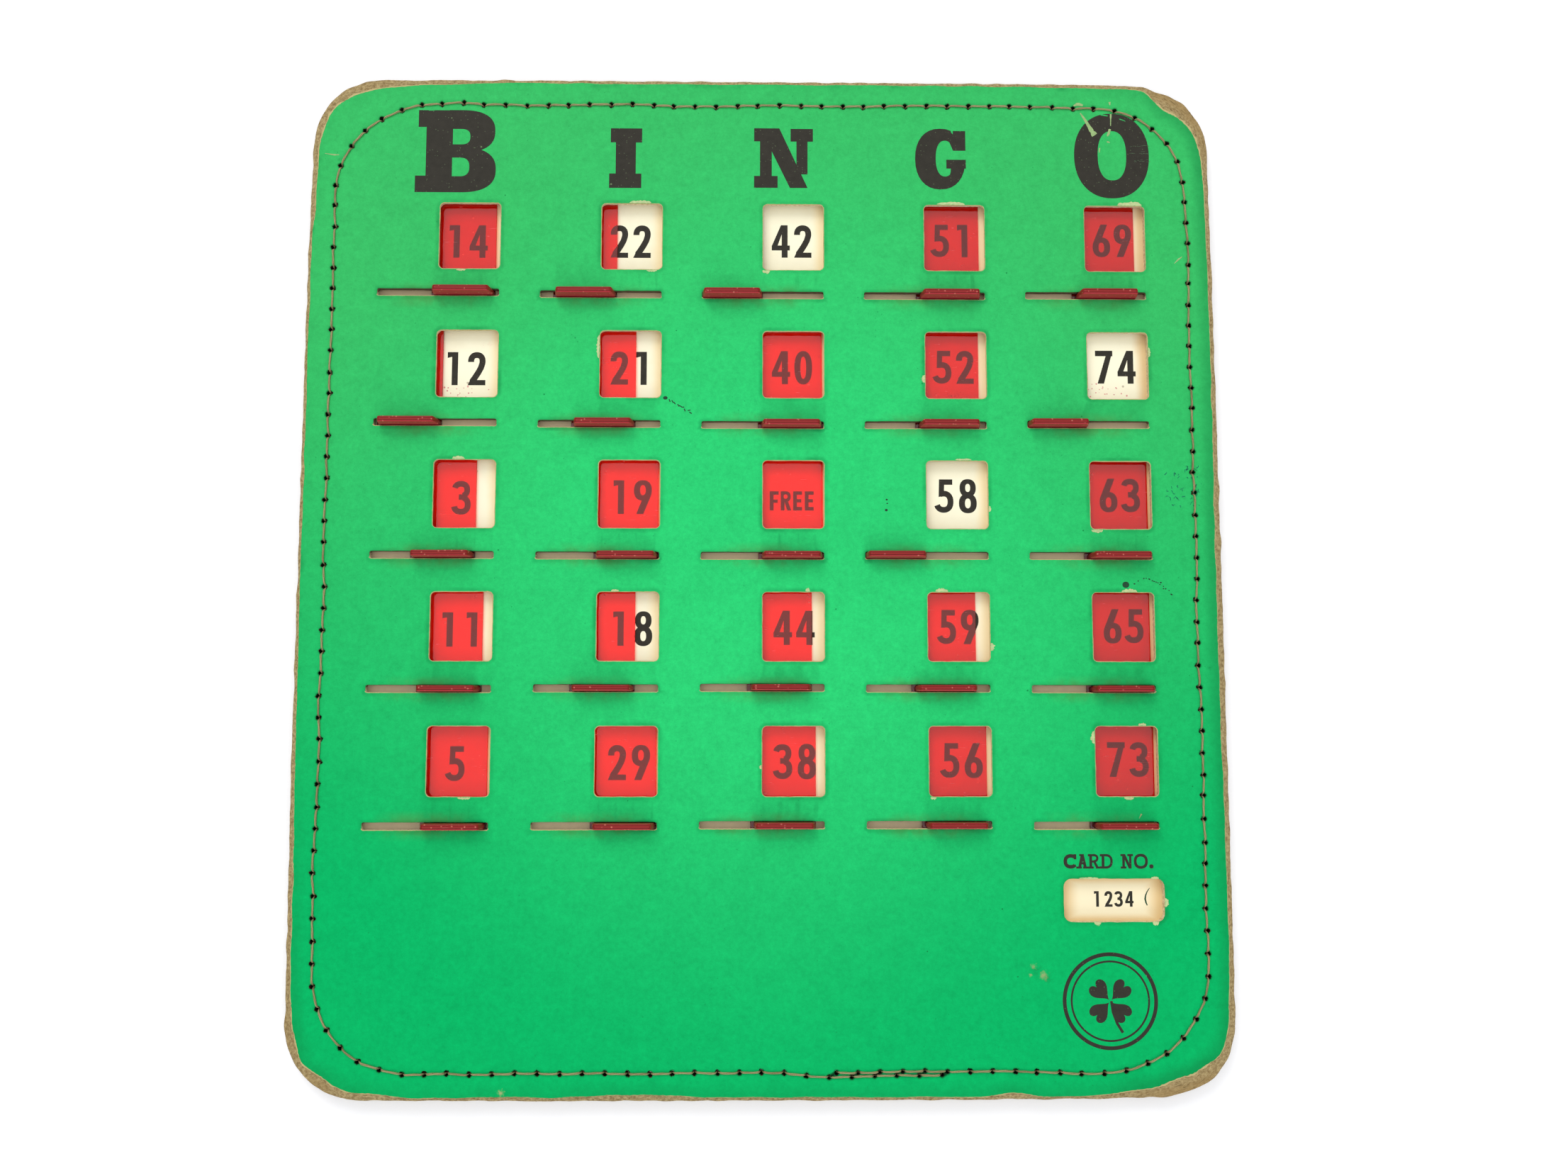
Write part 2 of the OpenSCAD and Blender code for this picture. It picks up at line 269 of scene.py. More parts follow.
# How much higher than in the frame each slot was cut, row by row
SLOT_RISE = [
    0.75, 0.45, 0.4, 0.36, 0.57, 0.5, 0.28, 0.13, 0.2, 0.4, 0.24, 0.15, 0.15, 0.24, 0.24,
    0.17, 0.3, 0.43, 0.31, 0.21, -0.09, -0.04, 0.12, 0.13, -0.02]


def slots(m):
    """Middles of the slots, row by row from the top."""
    return windows(m) + np.column_stack([np.full(len(SLOT_RISE), m.slot_x), m.slot_y + np.array(SLOT_RISE)])


def slot_side(m, points, reach):
    """0 away from the slots. Within reach of one, from 0.01 on its lower side to 1 on its upper side."""
    value = np.zeros(len(points))
    for cx, cy in slots(m):
        x, y = points[:, 0] - cx, points[:, 1] - cy
        held = (np.abs(x) < m.slot_w / 2 + reach) & (np.abs(y) < m.slot_h / 2 + reach)
        value = np.where(held, np.clip(0.5 + y / m.slot_h, 0.01, 1), value)
    return value


def rim_depth(points, middles, width, height, radius):
    """Distance outwards from the nearest of some like rounded rectangles."""
    best = np.full(len(points), np.inf)
    for middle in middles:
        x, y = (np.abs(points[:, :2] - middle) - np.array([width / 2 - radius, height / 2 - radius])).T
        best = np.minimum(best, np.hypot(np.maximum(x, 0), np.maximum(y, 0))
                          + np.minimum(np.maximum(x, y), 0) - radius)
    return best


# How wide the facing is worn away, how far the boards reach out and how wide the facing's bare core is: arc
# length round the card from the left end of its lower side, and width, in millimetres
FACING_WEAR = [
    (0, 1.6), (4, 1.1), (10, 0.6), (20, 0.5), (30, 0.8), (38, 0.45), (50, 1.05), (60, 1.0), (68, 0.5), (80, 0.5),
    (100, 0.45), (124, 0.45), (129, 1.35), (135, 0.5), (144, 0.5), (150, 1.0), (158, 2.3), (161, 3.0), (165, 3.2),
    (168, 2.7), (171, 2.2), (174, 1.4), (178, 1.3), (184, 1.2), (194, 0.75), (223, 0.85), (243, 1.1), (283, 1.15),
    (303, 0.95), (323, 0.95), (343, 1.1), (353, 1.3), (362, 1.7), (366, 2.2), (371, 2.5), (374, 3.2), (377, 3.8),
    (380, 3.6), (382.5, 2.7), (385, 1.1), (398, 0.8), (408, 0.6), (438, 0.45), (468, 0.45), (498, 0.5), (518, 0.35),
    (528, 0.6), (538, 1.0), (546, 1.6), (552, 1.8), (555, 1.3), (559, 1.0), (563, 1.1), (567, 1.5), (571, 1.4),
    (581, 1.1), (591, 0.5), (611, 0.4), (641, 0.5), (661, 0.4), (681, 0.6), (701, 0.7), (721, 1.1), (741, 1.2),
    (750, 1.7), (754, 2.1), (757, 1.8), (760, 1.2), (763, 1.9), (766, 2.5), (769, 1.7), (772, 1.5)]
BOARD_WEAR = [
    (0, -0.1), (40, 0.15), (100, 0.15), (150, 0), (158, -0.2), (164, -0.1), (167, 0.2), (170, 0.6), (173, 0.75),
    (176, 0.5), (180, 0.3), (190, 0.15), (260, 0.15), (330, -0.1), (352, -0.3), (362, -0.35), (370, 0),
    (376, 0.1), (380, -0.4), (383, -0.5), (388, -0.2), (400, 0.05), (500, 0.15), (546, 0.15), (552, 0.55),
    (557, 0.85), (562, 0.6), (568, -0.05), (575, -0.1), (600, 0.15), (700, 0.1), (725, -0.15), (750, -0.35),
    (757, 0), (764, 0.15), (770, 0)]
TORN_WEAR = [
    (0, 0.35), (20, 0.1), (60, 0.22), (100, 0.1), (129, 0.4), (140, 0.1), (158, 0.6), (168, 0.7), (176, 0.35),
    (230, 0.2), (350, 0.3), (362, 0.6), (372, 0.8), (380, 0.9), (386, 0.3), (420, 0.12), (530, 0.2), (552, 0.7),
    (566, 0.6), (575, 0.3), (600, 0.1), (700, 0.15), (750, 0.4), (762, 0.5), (772, 0.4)]


# The boards' edges are crushed outwards, by a share of the distance from a place on the card
CRUSHED, CRUSHED_FROM = 0.0026, (0.54, -32.03)


def worn(table, s, whole):
    """A width that is worn into the rim, smooth between the places of its table."""
    at, width = np.array(table).T
    return sum(np.interp(np.mod(s + off, whole), at, width, period=whole) for off in (-0.8, 0, 0.8)) / 3


def facing_edge(s, whole, seed):
    """How far inside the card's nominal outline the facing's green ends: wear, a slow wander and a ragged tear."""
    width = worn(FACING_WEAR, s, whole)
    ragged = 0.05 * ripple(s, whole, 30, 120, 14, seed) + 0.018 * ripple(s, whole, 300, 1000, 24, seed + 1)
    return np.maximum(0.15, width + ragged * (0.7 + 0.4 * width))


def torn_edge(s, whole, seed):
    """Width of the band of bare paper core outside the green."""
    return np.maximum(0.05, 0.45 * worn(TORN_WEAR, s, whole) * (1 + 0.3 * ripple(s, whole, 60, 300, 20, seed + 7)))


# Meshes -------------------------------------------------------------------------------


def counter_clockwise(outline):
    """The outline, turned round if it runs clockwise."""
    x, y = outline.T
    return outline if (x * np.roll(y, -1) - y * np.roll(x, -1)).sum() > 0 else outline[::-1]


def lifted(points, z):
    """Flat points at a height, or each at its own."""
    return np.column_stack([points, np.broadcast_to(z, len(points))])


def filled(solids, holes, inside, near):
    """Points and triangles that cover some outlines without some holes, by Delaunay triangulation. It also uses
    the points inside, and joins points that are near."""
    rings = [counter_clockwise(r) for r in (*solids, *holes)]
    ends = np.cumsum([len(r) for r in rings])
    faces = [list(range(a, b)) for a, b in zip([0, *ends[:-1]], ends)]
    points = np.concatenate([*rings, inside]).astype(np.float32).tolist()
    made = delaunay_2d_cdt(points, [], faces, 1, near, True)
    keep = np.array([len(f) > 0 and max(f) < len(solids) for f in made[5]])
    return np.array(made[0]).reshape(-1, 2), np.array(made[2])[keep]


NO_POINTS = np.zeros((0, 2))
WELDS_PER_MM = 2e4


class Shell:
    """Gathers strips and fills, in millimetres, and welds them to one closed mesh."""

    def __init__(self):
        self.points, self.quads, self.tris, self.values, self.count = [], [], [], [], 0
        self.below, self.above = [], []

    def strip(self, rows, skin=0, values=None):
        """Faces between rows of points, rows x points x 3, each row closed round, with a value for each."""
        r, n = rows.shape[:2]
        if values is not None:
            self.values.append(values.ravel())
        grid = self.count + np.arange(r * n).reshape(r, n)
        low, high = grid[:-1], grid[1:]
        self.quads.append((np.stack([low, np.roll(low, -1, 1), np.roll(high, -1, 1), high], -1).reshape(-1, 4), skin))
        self.points.append(rows.reshape(-1, 3))
        self.count += r * n

    def pierce(self, wall):
        """A wall whose hole stays open in the flats below and above."""
        self.strip(np.stack(wall))
        self.below.append(wall[0][:, :2])
        self.above.append(wall[-1][:, :2])

    def close(self, rows, under, over):
        """The flats inside the first and the last row, round the holes pierced so far."""
        self.flat(rows[0], self.below, under)
        self.flat(rows[-1], self.above, over)

    def flat(self, outline, holes=(), inside=NO_POINTS, skin=0):
        """The flat region inside an outline, at the outline's height, and outside the holes."""
        co, tris = filled([outline[:, :2]], holes, inside, 1e-7)
        self.points.append(lifted(co, outline[0, 2]))
        self.tris.append((tris + self.count, skin))
        self.count += len(co)

    def slab(self, solids, z, height, holes=(), skin=0):
        """A thin closed film on a flat: the merged outlines below and above, and a wall along their border."""
        co, tris = filled(solids, holes, NO_POINTS, 1e-6)
        n = len(co)
        self.points.append(np.concatenate([lifted(co, z), lifted(co, z + height)]))
        edges = np.concatenate([tris[:, [0, 1]], tris[:, [1, 2]], tris[:, [2, 0]]])
        _, first, count = np.unique(np.sort(edges, 1), axis=0, return_index=True, return_counts=True)
        border = edges[first[count == 1]]
        walls = np.column_stack([border, border[:, ::-1] + n])
        self.quads.append((walls + self.count, skin))
        self.tris.append((tris[:, ::-1] + self.count, skin))
        self.tris.append((tris + n + self.count, skin))
        self.count += 2 * n

    def build(self, name, shape=None, smooth=40, offset=(0, 0, 0)):
        """Welds the doubles, moves the points with shape(points), turns the faces outwards and links the
        object. The place is in the mesh. kept says which of the gathered points its points were."""
        co = np.concatenate(self.points).astype(np.float32).astype(float)
        _, first, to = np.unique(np.round(co * WELDS_PER_MM).astype(np.int64), axis=0, return_index=True,
                                 return_inverse=True)
        co = shape(co[first]) if shape else co[first]
        quads, tris = (to.reshape(-1)[np.concatenate([faces for faces, _ in parts])] if parts
                       else np.zeros((0, sides), int) for parts, sides in ((self.quads, 4), (self.tris, 3)))
        skins = np.concatenate([np.full(len(faces), skin) for faces, skin in [*self.quads, *self.tris]])
        # A quad with one welded side becomes a triangle, and a face with more of them goes
        same = quads == np.roll(quads, 1, 1)
        whole_q, folded = ~same.any(1), same.sum(1) == 1
        whole_t = (tris != np.roll(tris, 1, 1)).all(1)
        skins = np.concatenate([skins[np.concatenate([whole_q, whole_t])], skins[:len(quads)][folded]])
        tris = np.concatenate([tris[whole_t], quads[folded][~same[folded]].reshape(-1, 3)])
        quads = quads[whole_q]
        corners = np.concatenate([quads.ravel(), tris.ravel()])
        used, corners = np.unique(corners, return_inverse=True)
        co, self.kept = co[used], first[used]
        starts = np.concatenate([np.arange(len(quads)) * 4, 4 * len(quads) + np.arange(len(tris)) * 3])
        mesh = bpy.data.meshes.new(name)
        mesh.vertices.add(len(co))
        mesh.vertices.foreach_set("co", ((co + np.array(offset)) * MM).astype(np.float32).ravel())
        mesh.loops.add(len(corners))
        mesh.loops.foreach_set("vertex_index", corners.astype(np.int32))
        mesh.polygons.add(len(starts))
        mesh.polygons.foreach_set("loop_start", starts.astype(np.int32))
        mesh.polygons.foreach_set("material_index", skins.astype(np.int32))
        mesh.update(calc_edges=True)
        mesh.validate()
        work = bmesh.new()
        work.from_mesh(mesh)
        bmesh.ops.recalc_face_normals(work, faces=work.faces)
        work.to_mesh(mesh)
        work.free()
        mesh.polygons.foreach_set("use_smooth", np.ones(len(mesh.polygons), bool))
        mesh.set_sharp_from_angle(angle=math.radians(smooth))
        piece = bpy.data.objects.new(name, mesh)
        bpy.context.scene.collection.objects.link(piece)
        return piece


def coordinates(piece):
    """A piece's points in millimetres."""
    co = np.zeros(len(piece.data.vertices) * 3, np.float32)
    piece.data.vertices.foreach_get("co", co)
    return co.reshape(-1, 3).astype(float) / MM


def record_value(piece, name, values):
    """Keeps one value a point, for the material."""
    made = piece.data.attributes.new(name, "FLOAT", "POINT")
    made.data.foreach_set("value", values.astype(np.float32))


def unroll(piece, u, v, whole):
    """UV map in centimetres: arc length round the card along u, and depth from its edge along v. A face that
    spans the start gets the whole length added on its low side."""
    mesh = piece.data
    corner = np.zeros(len(mesh.loops), np.int32)
    mesh.loops.foreach_get("vertex_index", corner)
    start = np.zeros(len(mesh.polygons), np.int32)
    mesh.polygons.foreach_get("loop_start", start)
    face = np.searchsorted(start, np.arange(len(corner)), side="right") - 1
    uu = u[corner]
    top = np.maximum.reduceat(uu, start)
    uu = np.where(top[face] - uu > whole / 2, uu + whole, uu)
    layer = mesh.uv_layers.new(name="track")
    layer.data.foreach_set("uv", (np.column_stack([uu, v[corner]]) / 10).astype(np.float32).ravel())


def finish_piece(piece, body, materials, replaces=()):
    """Gives a piece its materials and ties it to the frame."""
    for made in materials:
        piece.data.materials.append(made)
    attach(piece, body)
    if replaces:
        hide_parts(*replaces)
    return piece


# The seam -------------------------------------------------------------------------------


# Stitches once round the card, ones sewn over the first, ones over which the seam steps outwards, how far beside
# a first hole the second ones lie, as a share of a stitch, and half the length of a needle's slit
ROUND_STITCHES = 162
OVERLAP = 5
STEP_STITCHES = 2
PAIR_SHARE = 0.3
SLIT_ALONG = 0.52


def seam_holes(m):
    """Places of the needle holes, and the way along the seam at each. Hole k lies k pitches along; the last ones
    step outwards and pass beside the first. Each strays a little."""
    line = seam_line(m)
    whole = spans(*line)[-1]
    pitch = whole / (ROUND_STITCHES + PAIR_SHARE)
    k = np.arange(ROUND_STITCHES + OVERLAP + 1)
    s = k * pitch
    out = m.seam_step * np.clip((s - whole) / (STEP_STITCHES * pitch) + 1, 0, 1)
    points, normals = walk(s + m.seam_start + line[0] - m.seam_r, *line)
    draw = np.random.default_rng(41)
    stray = 0.1 * draw.standard_normal(len(k)) + 0.16 * ripple(s, whole, 4, 30, 8, 5)
    slip = 0.1 * draw.standard_normal(len(k))
    ahead = np.stack([-normals[:, 1], normals[:, 0]], 1)
    return points + normals * (out + np.clip(stray, -0.3, 0.3))[:, None] + ahead * slip[:, None], ahead


def seam_reach(points, holes):
    """Distances of points from the nearest stitch and from the nearest needle hole."""
    a, b = holes[:-1], holes[1:]
    span = b - a
    near, hole = np.zeros(len(points)), np.zeros(len(points))
    for part in np.array_split(np.arange(len(points)), max(1, len(points) // 4000)):
        x, y = points[part, 0, None], points[part, 1, None]
        px, py = x - a[:, 0], y - a[:, 1]
        t = np.clip((px * span[:, 0] + py * span[:, 1]) / (span ** 2).sum(1), 0, 1)
        near[part] = np.hypot(px - t * span[:, 0], py - t * span[:, 1]).min(1)
        hole[part] = np.hypot(x - holes[:, 0], y - holes[:, 1]).min(1)
    return near, hole


def needle_cuts(holes, ahead, across, count, seed, rough):
    """Ragged slits round the needle holes: radius of an ellipse times one plus noise, turned a little. Where two
    holes are close, both slits are smaller."""
    draw = np.random.default_rng(seed)
    n = len(holes)
    angle = np.arange(count) * TAU / count
    radius = 1 + rough * draw.uniform(-1, 1, (n, count))
    apart = np.linalg.norm(holes[:, None] - holes, axis=2) + 99 * np.eye(n)
    radius *= np.minimum(1, apart.min(1) / 2)[:, None]
    tilt = draw.normal(0, 0.16, n)
    u, v = SLIT_ALONG * np.cos(angle) * radius, across * np.sin(angle) * radius
    c, s = np.cos(tilt)[:, None], np.sin(tilt)[:, None]
    u, v = u * c - v * s, u * s + v * c
    side = np.stack([-ahead[:, 1], ahead[:, 0]], 1)
    return holes[:, None] + u[..., None] * ahead[:, None] + v[..., None] * side[:, None]


# Boards and facing papers ---------------------------------------------------------------

# Where a surface has rows of points beside the seam, outwards in millimetres
FRONT_BANDS = (-2.1, -1.3, -0.75, -0.3, 0.3, 0.75, 1.3, 2.0)
BACK_BANDS = (-2.1, -1.65, *np.arange(-1.35, 1.1, 0.2), 1.4, 2.0)
# How far apart the points along the edge of a facing and of a board lie, and the cells round its torn edge
FACING_STEP, BOARD_STEP, TORN_CELLS = 0.36, 0.5, 1700
# How much the facing's rim is darkened, by arc length round the card: painted shade where the worn edge rounds away
# from the light, with soiling
RIM_SHADE_AND_SOIL = [(0, 0.5), (150, 0.8), (184, 1), (300, 1), (360, 0.9), (388, 0.5), (400, 0.15), (700, 0.15), (745, 0.6)]
# Seeds of the front's and the back's ragged edge, which the boards follow
FRONT_SEED, BACK_SEED = 11, 31


def openings(m):
    """The cuts through the card's face, each kind with its middles and its width, height and corner radius: the
    windows, the slots and the card number window."""
    return ((windows(m), (m.window_w, m.window_h, m.window_r)), (slots(m), (m.slot_w, m.slot_h, m.slot_r)),
            ([(m.label_x, m.label_y)], (m.label_w, m.label_h, m.label_r)))


def cut_rings(kinds, *how):
    """Outlines and normals of all cuts, each with the values that come after its kind's step and bend."""
    return [(*ring(middle, *size, step, bend), *more)
            for (middles, size), (step, bend, *more) in zip(kinds, how) for middle in middles]


def round_card(m, step):
    """Arc lengths about a step apart round the card, with their points and normals, and its whole length."""
    whole = spans(*card_line(m))[-1]
    count = int(whole / step)
    s = np.arange(count) * whole / count
    return s, *walk(s, *card_line(m)), whole


def shifted(points, normals, out, z):
    """A ring moved outwards and to a height, each one number or one for each point."""
    return lifted(points + normals * np.broadcast_to(out, len(points))[:, None], z)


def jagged(n, parts, draw):
    """Noise round a ring of n points, in so many parts."""
    return mottle(np.arange(n), np.zeros(n), n / parts, 1, int(draw.integers(9999)), parts)


def groove(near):
    """How far the back is pressed in along the seam, so that its thread lies under the surface: the whole depth
    within 0.3 of the thread, and none from 0.75 on."""
    t = np.clip((0.75 - near) / 0.45, 0, 1)
    return (level("back_facing")[1] - level("back_board")[0]) * t * t * (3 - 2 * t)


def spread_points(m, holes, front):
    """Points that a surface is built on between its rings: bands beside the seam and a coarse grid, clear of
    every needle hole, and on the front of every cut."""
    # Distance kept from the cuts, step along the seam, its bands, and distance kept from the needle holes
    gap, step, bands, off = (0.9, 0.75, FRONT_BANDS, 1.15) if front else (-99, 0.6, BACK_BANDS, 0.95)
    whole = spans(*seam_line(m))[-1]
    spread = []
    for out in bands:
        count = int(whole / (step * (0.8 + 0.5 * abs(out))))
        points, normals = walk((np.arange(count) + 0.37 * out) * whole / count, *seam_line(m))
        spread.append(points + normals * out)
    x, y = np.meshgrid(*(np.arange(-half + 8.3, half - 8, 3.7) for half in (m.half_w, m.half_h)))
    points = np.concatenate([*spread, np.column_stack([x.ravel(), y.ravel()])])
    clear = (seam_reach(points, holes)[1] > off) & (track(points, *card_line(m))[1] > 2.6)
    for middles, size in openings(m):
        clear &= rim_depth(points, middles, *size) > gap
    return points[clear]


def build_facing(context, name, node, material, upward, seed):
    """A facing paper: its torn rim and its cuts are profiles carried along their outlines, and the flats
    between them are filled. The paper is pressed down beside the stitches, more at the needle holes."""
    m = millimetres(context)
    low, high = level(node)
    if not upward:
        high = level("back_board")[0]
    thick = high - low
    shell = Shell()
    s, points, normals, whole = round_card(m, FACING_STEP)
    bare = torn_edge(s, whole, seed)
    edge = facing_edge(s, whole, seed) - bare
    rows = []
    # Depth inwards from the torn edge, height as a share of the paper, and roughness
    for depth, height, rough in (
            (1.9, 0, 0), (0.25, 0, 0), (0.02, 0.1, 0.03), (0.0, 0.3, 0.03), (0.12, 0.42, 0.05),
            (0.35 * bare + 0.15, 0.5, 0.05), (bare, 0.72, 0.03), (bare + 0.1, 0.97, 0.02), (bare + 0.4, 1, 0),
            (bare + 0.9, 1, 0), (bare + 1.5, 1, 0)):
        wobble = rough * mottle(s, np.full(len(s), 3.0 * len(rows)), whole / TORN_CELLS, 1, seed + 20, TORN_CELLS)
        rows.append(shifted(points, normals, -(edge + depth + wobble), low + thick * height + 0.4 * wobble))
    shell.strip(np.stack(rows))
    holes, ahead = seam_holes(m)
    draw = np.random.default_rng(seed + 3)
    # Each cut's wall frays inside the paper and has a raised lip at its face
    cuts = cut_rings(openings(m), (0.5, 5, 0.05, -0.3), (0.6, 4, 0.03, 0.0), (0.5, 5, 0.06, -0.08))
    for around, outwards, rough, inset in cuts if upward else ():
        n = len(around)
        fray = rough * jagged(n, max(4, n // 3), draw)
        lip = 0.018 + 0.014 * jagged(n, max(4, n // 9), draw)
        fray += inset
        shell.pierce([shifted(around, outwards, out, z) for out, z in (
            (fray, low), (fray, low + 0.45 * thick), (fray + 0.03, high - 0.2 * thick), (fray + 0.1, high - 0.01),
            (fray + 0.32, high + lip), (0.5, high))])
    for slit, centre in zip(needle_cuts(holes, ahead, 0.66, 14, seed + 4, 0.3), holes):
        shell.pierce([lifted(centre + (slit - centre) * scale, z)
                      for scale, z in ((0.92, low), (0.95, high - 0.5 * thick), (1.08, high))])
    inside = spread_points(m, holes, upward)
    shell.close(rows, NO_POINTS if upward else inside, inside)

    def press(co):
        near, hole = seam_reach(co, holes)
        if not upward:
            co[:, 2] = low + high - co[:, 2] + groove(near)
            return co
        sink = np.minimum(0.75 * thick, 0.09 * np.exp(-(near / 0.5) ** 2) + 0.12 * np.exp(-(hole / 0.95) ** 2))
        swell = 0.02 * np.exp(-((near - 1.15) / 0.4) ** 2)
        co[:, 2] += (swell - sink) * np.clip((co[:, 2] - low) / thick, 0, 1)
        return co

    piece = shell.build(name, press, 50)
    co = coordinates(piece)
    at, depth = track(co, *card_line(m))
    record_value(piece, "rim", np.clip(depth - facing_edge(at, whole, seed), -3, 4))
    # Painted shade along the rim, with soiling: as the table gives, and more where the rim is worn wider
    rim_shade_and_soil = np.interp(at, *np.array(RIM_SHADE_AND_SOIL).T) * np.clip(0.35 + worn(FACING_WEAR, at, whole) / 3, 0, 1)
    record_value(piece, "rim_shade_and_soil", rim_shade_and_soil)
    record_value(piece, "pierced", np.clip(seam_reach(co, holes)[1], 0, 4))
    cut = np.full(len(co), 3.0)
    if upward:
        side = slot_side(m, co, 0.6)
        for (middles, size), nearer in zip(openings(m), (0, 0.3 * ((side > 0) & (side < 0.2)), 0)):
            cut = np.minimum(cut, rim_depth(co, middles, *size) - nearer)
    record_value(piece, "cut", np.clip(cut, -1, 3))
    unroll(piece, at, depth, whole)
    return finish_piece(piece, "card", [material], [node])


def build_board(context, name, node, material, rounding, cuts, seed):
    """A board of the stack. Its outer edge is a worn profile carried round the card: a fibrous side, and a
    top that rounds down outside the facing. rounding is 1 for a board worn on its upper edge, -1 for the
    lower one and 0 for one in the middle."""
    m = millimetres(context)
    low, high = level(node)
    shell = Shell()
    s, points, normals, whole = round_card(m, BOARD_STEP)
    out = worn(BOARD_WEAR, s, whole) + 0.05 * ripple(s, whole, 20, 160, 12, 77)
    out += CRUSHED * np.maximum(0, (normals * (points - CRUSHED_FROM)).sum(1))
    rim = facing_edge(s, whole, FRONT_SEED if rounding >= 0 else BACK_SEED) + out + 0.35
    heavy = np.clip((rim - 1.6) / 2, 0, 1)
    drop = m.rim_drop * (0.45 + 0.42 * np.minimum(rim, 2.2)) * (1 + 0.12 * ripple(s, whole, 30, 200, 12, seed))
    drop = np.minimum(drop, 0.86 * (high - low)) * abs(rounding)
    fine, coarse = int(whole / 0.9), int(whole / 5)

    def fibres(v, scale):
        at = np.full(len(s), float(v))
        value = (0.05 * mottle(s, at, whole / fine, 0.2, seed + 1, fine)
                 + 0.05 * mottle(s, at, whole / coarse, 0.28, seed + 2, coarse)
                 + 0.03 * mottle(s, at, whole / (2 * fine), 0.13, seed + 3, 2 * fine))
        crack = np.maximum(0, mottle(s, at, whole / coarse, 0.4, seed + 4, coarse) - 0.15) * heavy
        return scale * (value - 0.3 * crack)

    profile = [(-3, low)]
    for t in np.linspace(0, 1, 9 if rounding else 8):
        bulge = 0.06 * math.sin(math.pi * t) - 0.05
        side = fibres(1.1 * t, 0.8 if 0 < t < 1 or rounding else 0.5)
        profile.append((out + bulge + side, low + (high - drop - low) * t))
    if rounding:
        for t in np.linspace(0, 1, 17)[1:]:
            lift = fibres(2 + 1.6 * t * np.mean(rim), 1.0 if t < 0.95 else 0.2)
            top = np.minimum(high, high - drop * (1 - t) ** 2.1 + lift * min(1, 4 * (1 - t)))
            profile.append((out - rim * t + 0.5 * lift, top if t < 1 else high))
        profile.append((out - rim - 0.6, high))
    else:
        profile.append((-3, high))
    rows = [shifted(points, normals, *step) for step in profile]
    shell.strip(np.stack(rows))
    draw = np.random.default_rng(seed + 9)
    for around, outwards, steps in cuts:
        n = len(around)
        wall = []
        for t in np.linspace(0, 1, steps):
            fray = 0.03 * jagged(n, n // 2, draw) if steps > 2 else 0
            wall.append(shifted(around, outwards, fray - 0.01 * math.sin(math.pi * t), low + (high - low) * t))
        shell.pierce(wall)
    holes, ahead = seam_holes(m)
    for slit in needle_cuts(holes, ahead, 0.62, 10, seed + 6, 0.08):
        shell.pierce([lifted(slit, low), lifted(slit, high)])
    shell.close(rows, NO_POINTS, spread_points(m, holes, False) if rounding < 0 else NO_POINTS)

    def turn(co):
        if rounding < 0:
            co[:, 2] = low + high - co[:, 2]
            co[:, 2] += groove(seam_reach(co, holes)[0]) * (co[:, 2] < low + 0.01)
        return co

    piece = shell.build(name, turn, 60)
    co = coordinates(piece)
    at, depth = track(co, *card_line(m))
    record_value(piece, "pierced", np.clip(seam_reach(co, holes)[1], 0, 4))
    record_value(piece, "rim", np.clip(depth + worn(BOARD_WEAR, at, whole), -1, 4))
    record_value(piece, "peel", np.clip((worn(FACING_WEAR, at, whole) - 1.5) / 1.2, 0, 1))
    # Which side of a slot a point lies on, for the painted shade on the slots' upper walls
    record_value(piece, "slot", slot_side(m, co, 0.3))
    unroll(piece, at, depth + 0.8 * (high - co[:, 2]), whole)
    return finish_piece(piece, "card", [material], [node])


# Print --------------------------------------------------------------------------------


def oval(x, y, rx, ry, start=0.0, stop=360.0, power=2.3, count=33):
    """Points of a superellipse: rx * sign(cos a) * |cos a|^(2 / power), and the same for y. A whole one
    leaves its last point out."""
    a = np.radians(np.linspace(start, stop, count))
    c, s = np.cos(a), np.sin(a)
    points = np.stack([x + rx * np.sign(c) * np.abs(c) ** (2 / power),
                       y + ry * np.sign(s) * np.abs(s) ** (2 / power)], 1)
    return points[:-1] if abs(stop - start) == 360 else points


def band(path, width):
    """The outline of a stroke: the path moved by half its width to each side, along its normals."""
    path = np.asarray(path, float)
    way = np.gradient(path, axis=0)
    way /= np.maximum(np.linalg.norm(way, axis=1), 1e-9)[:, None]
    side = np.stack([-way[:, 1], way[:, 0]], 1) * np.broadcast_to(width, len(path))[:, None] / 2
    return np.concatenate([path + side, (path - side)[::-1]])


def poly(*points):
    """An outline from its corners."""
    return np.array(points, float)


def bar(x0, y0, x1, y1):
    """An upright rectangle."""
    return poly((x0, y0), (x1, y0), (x1, y1), (x0, y1))


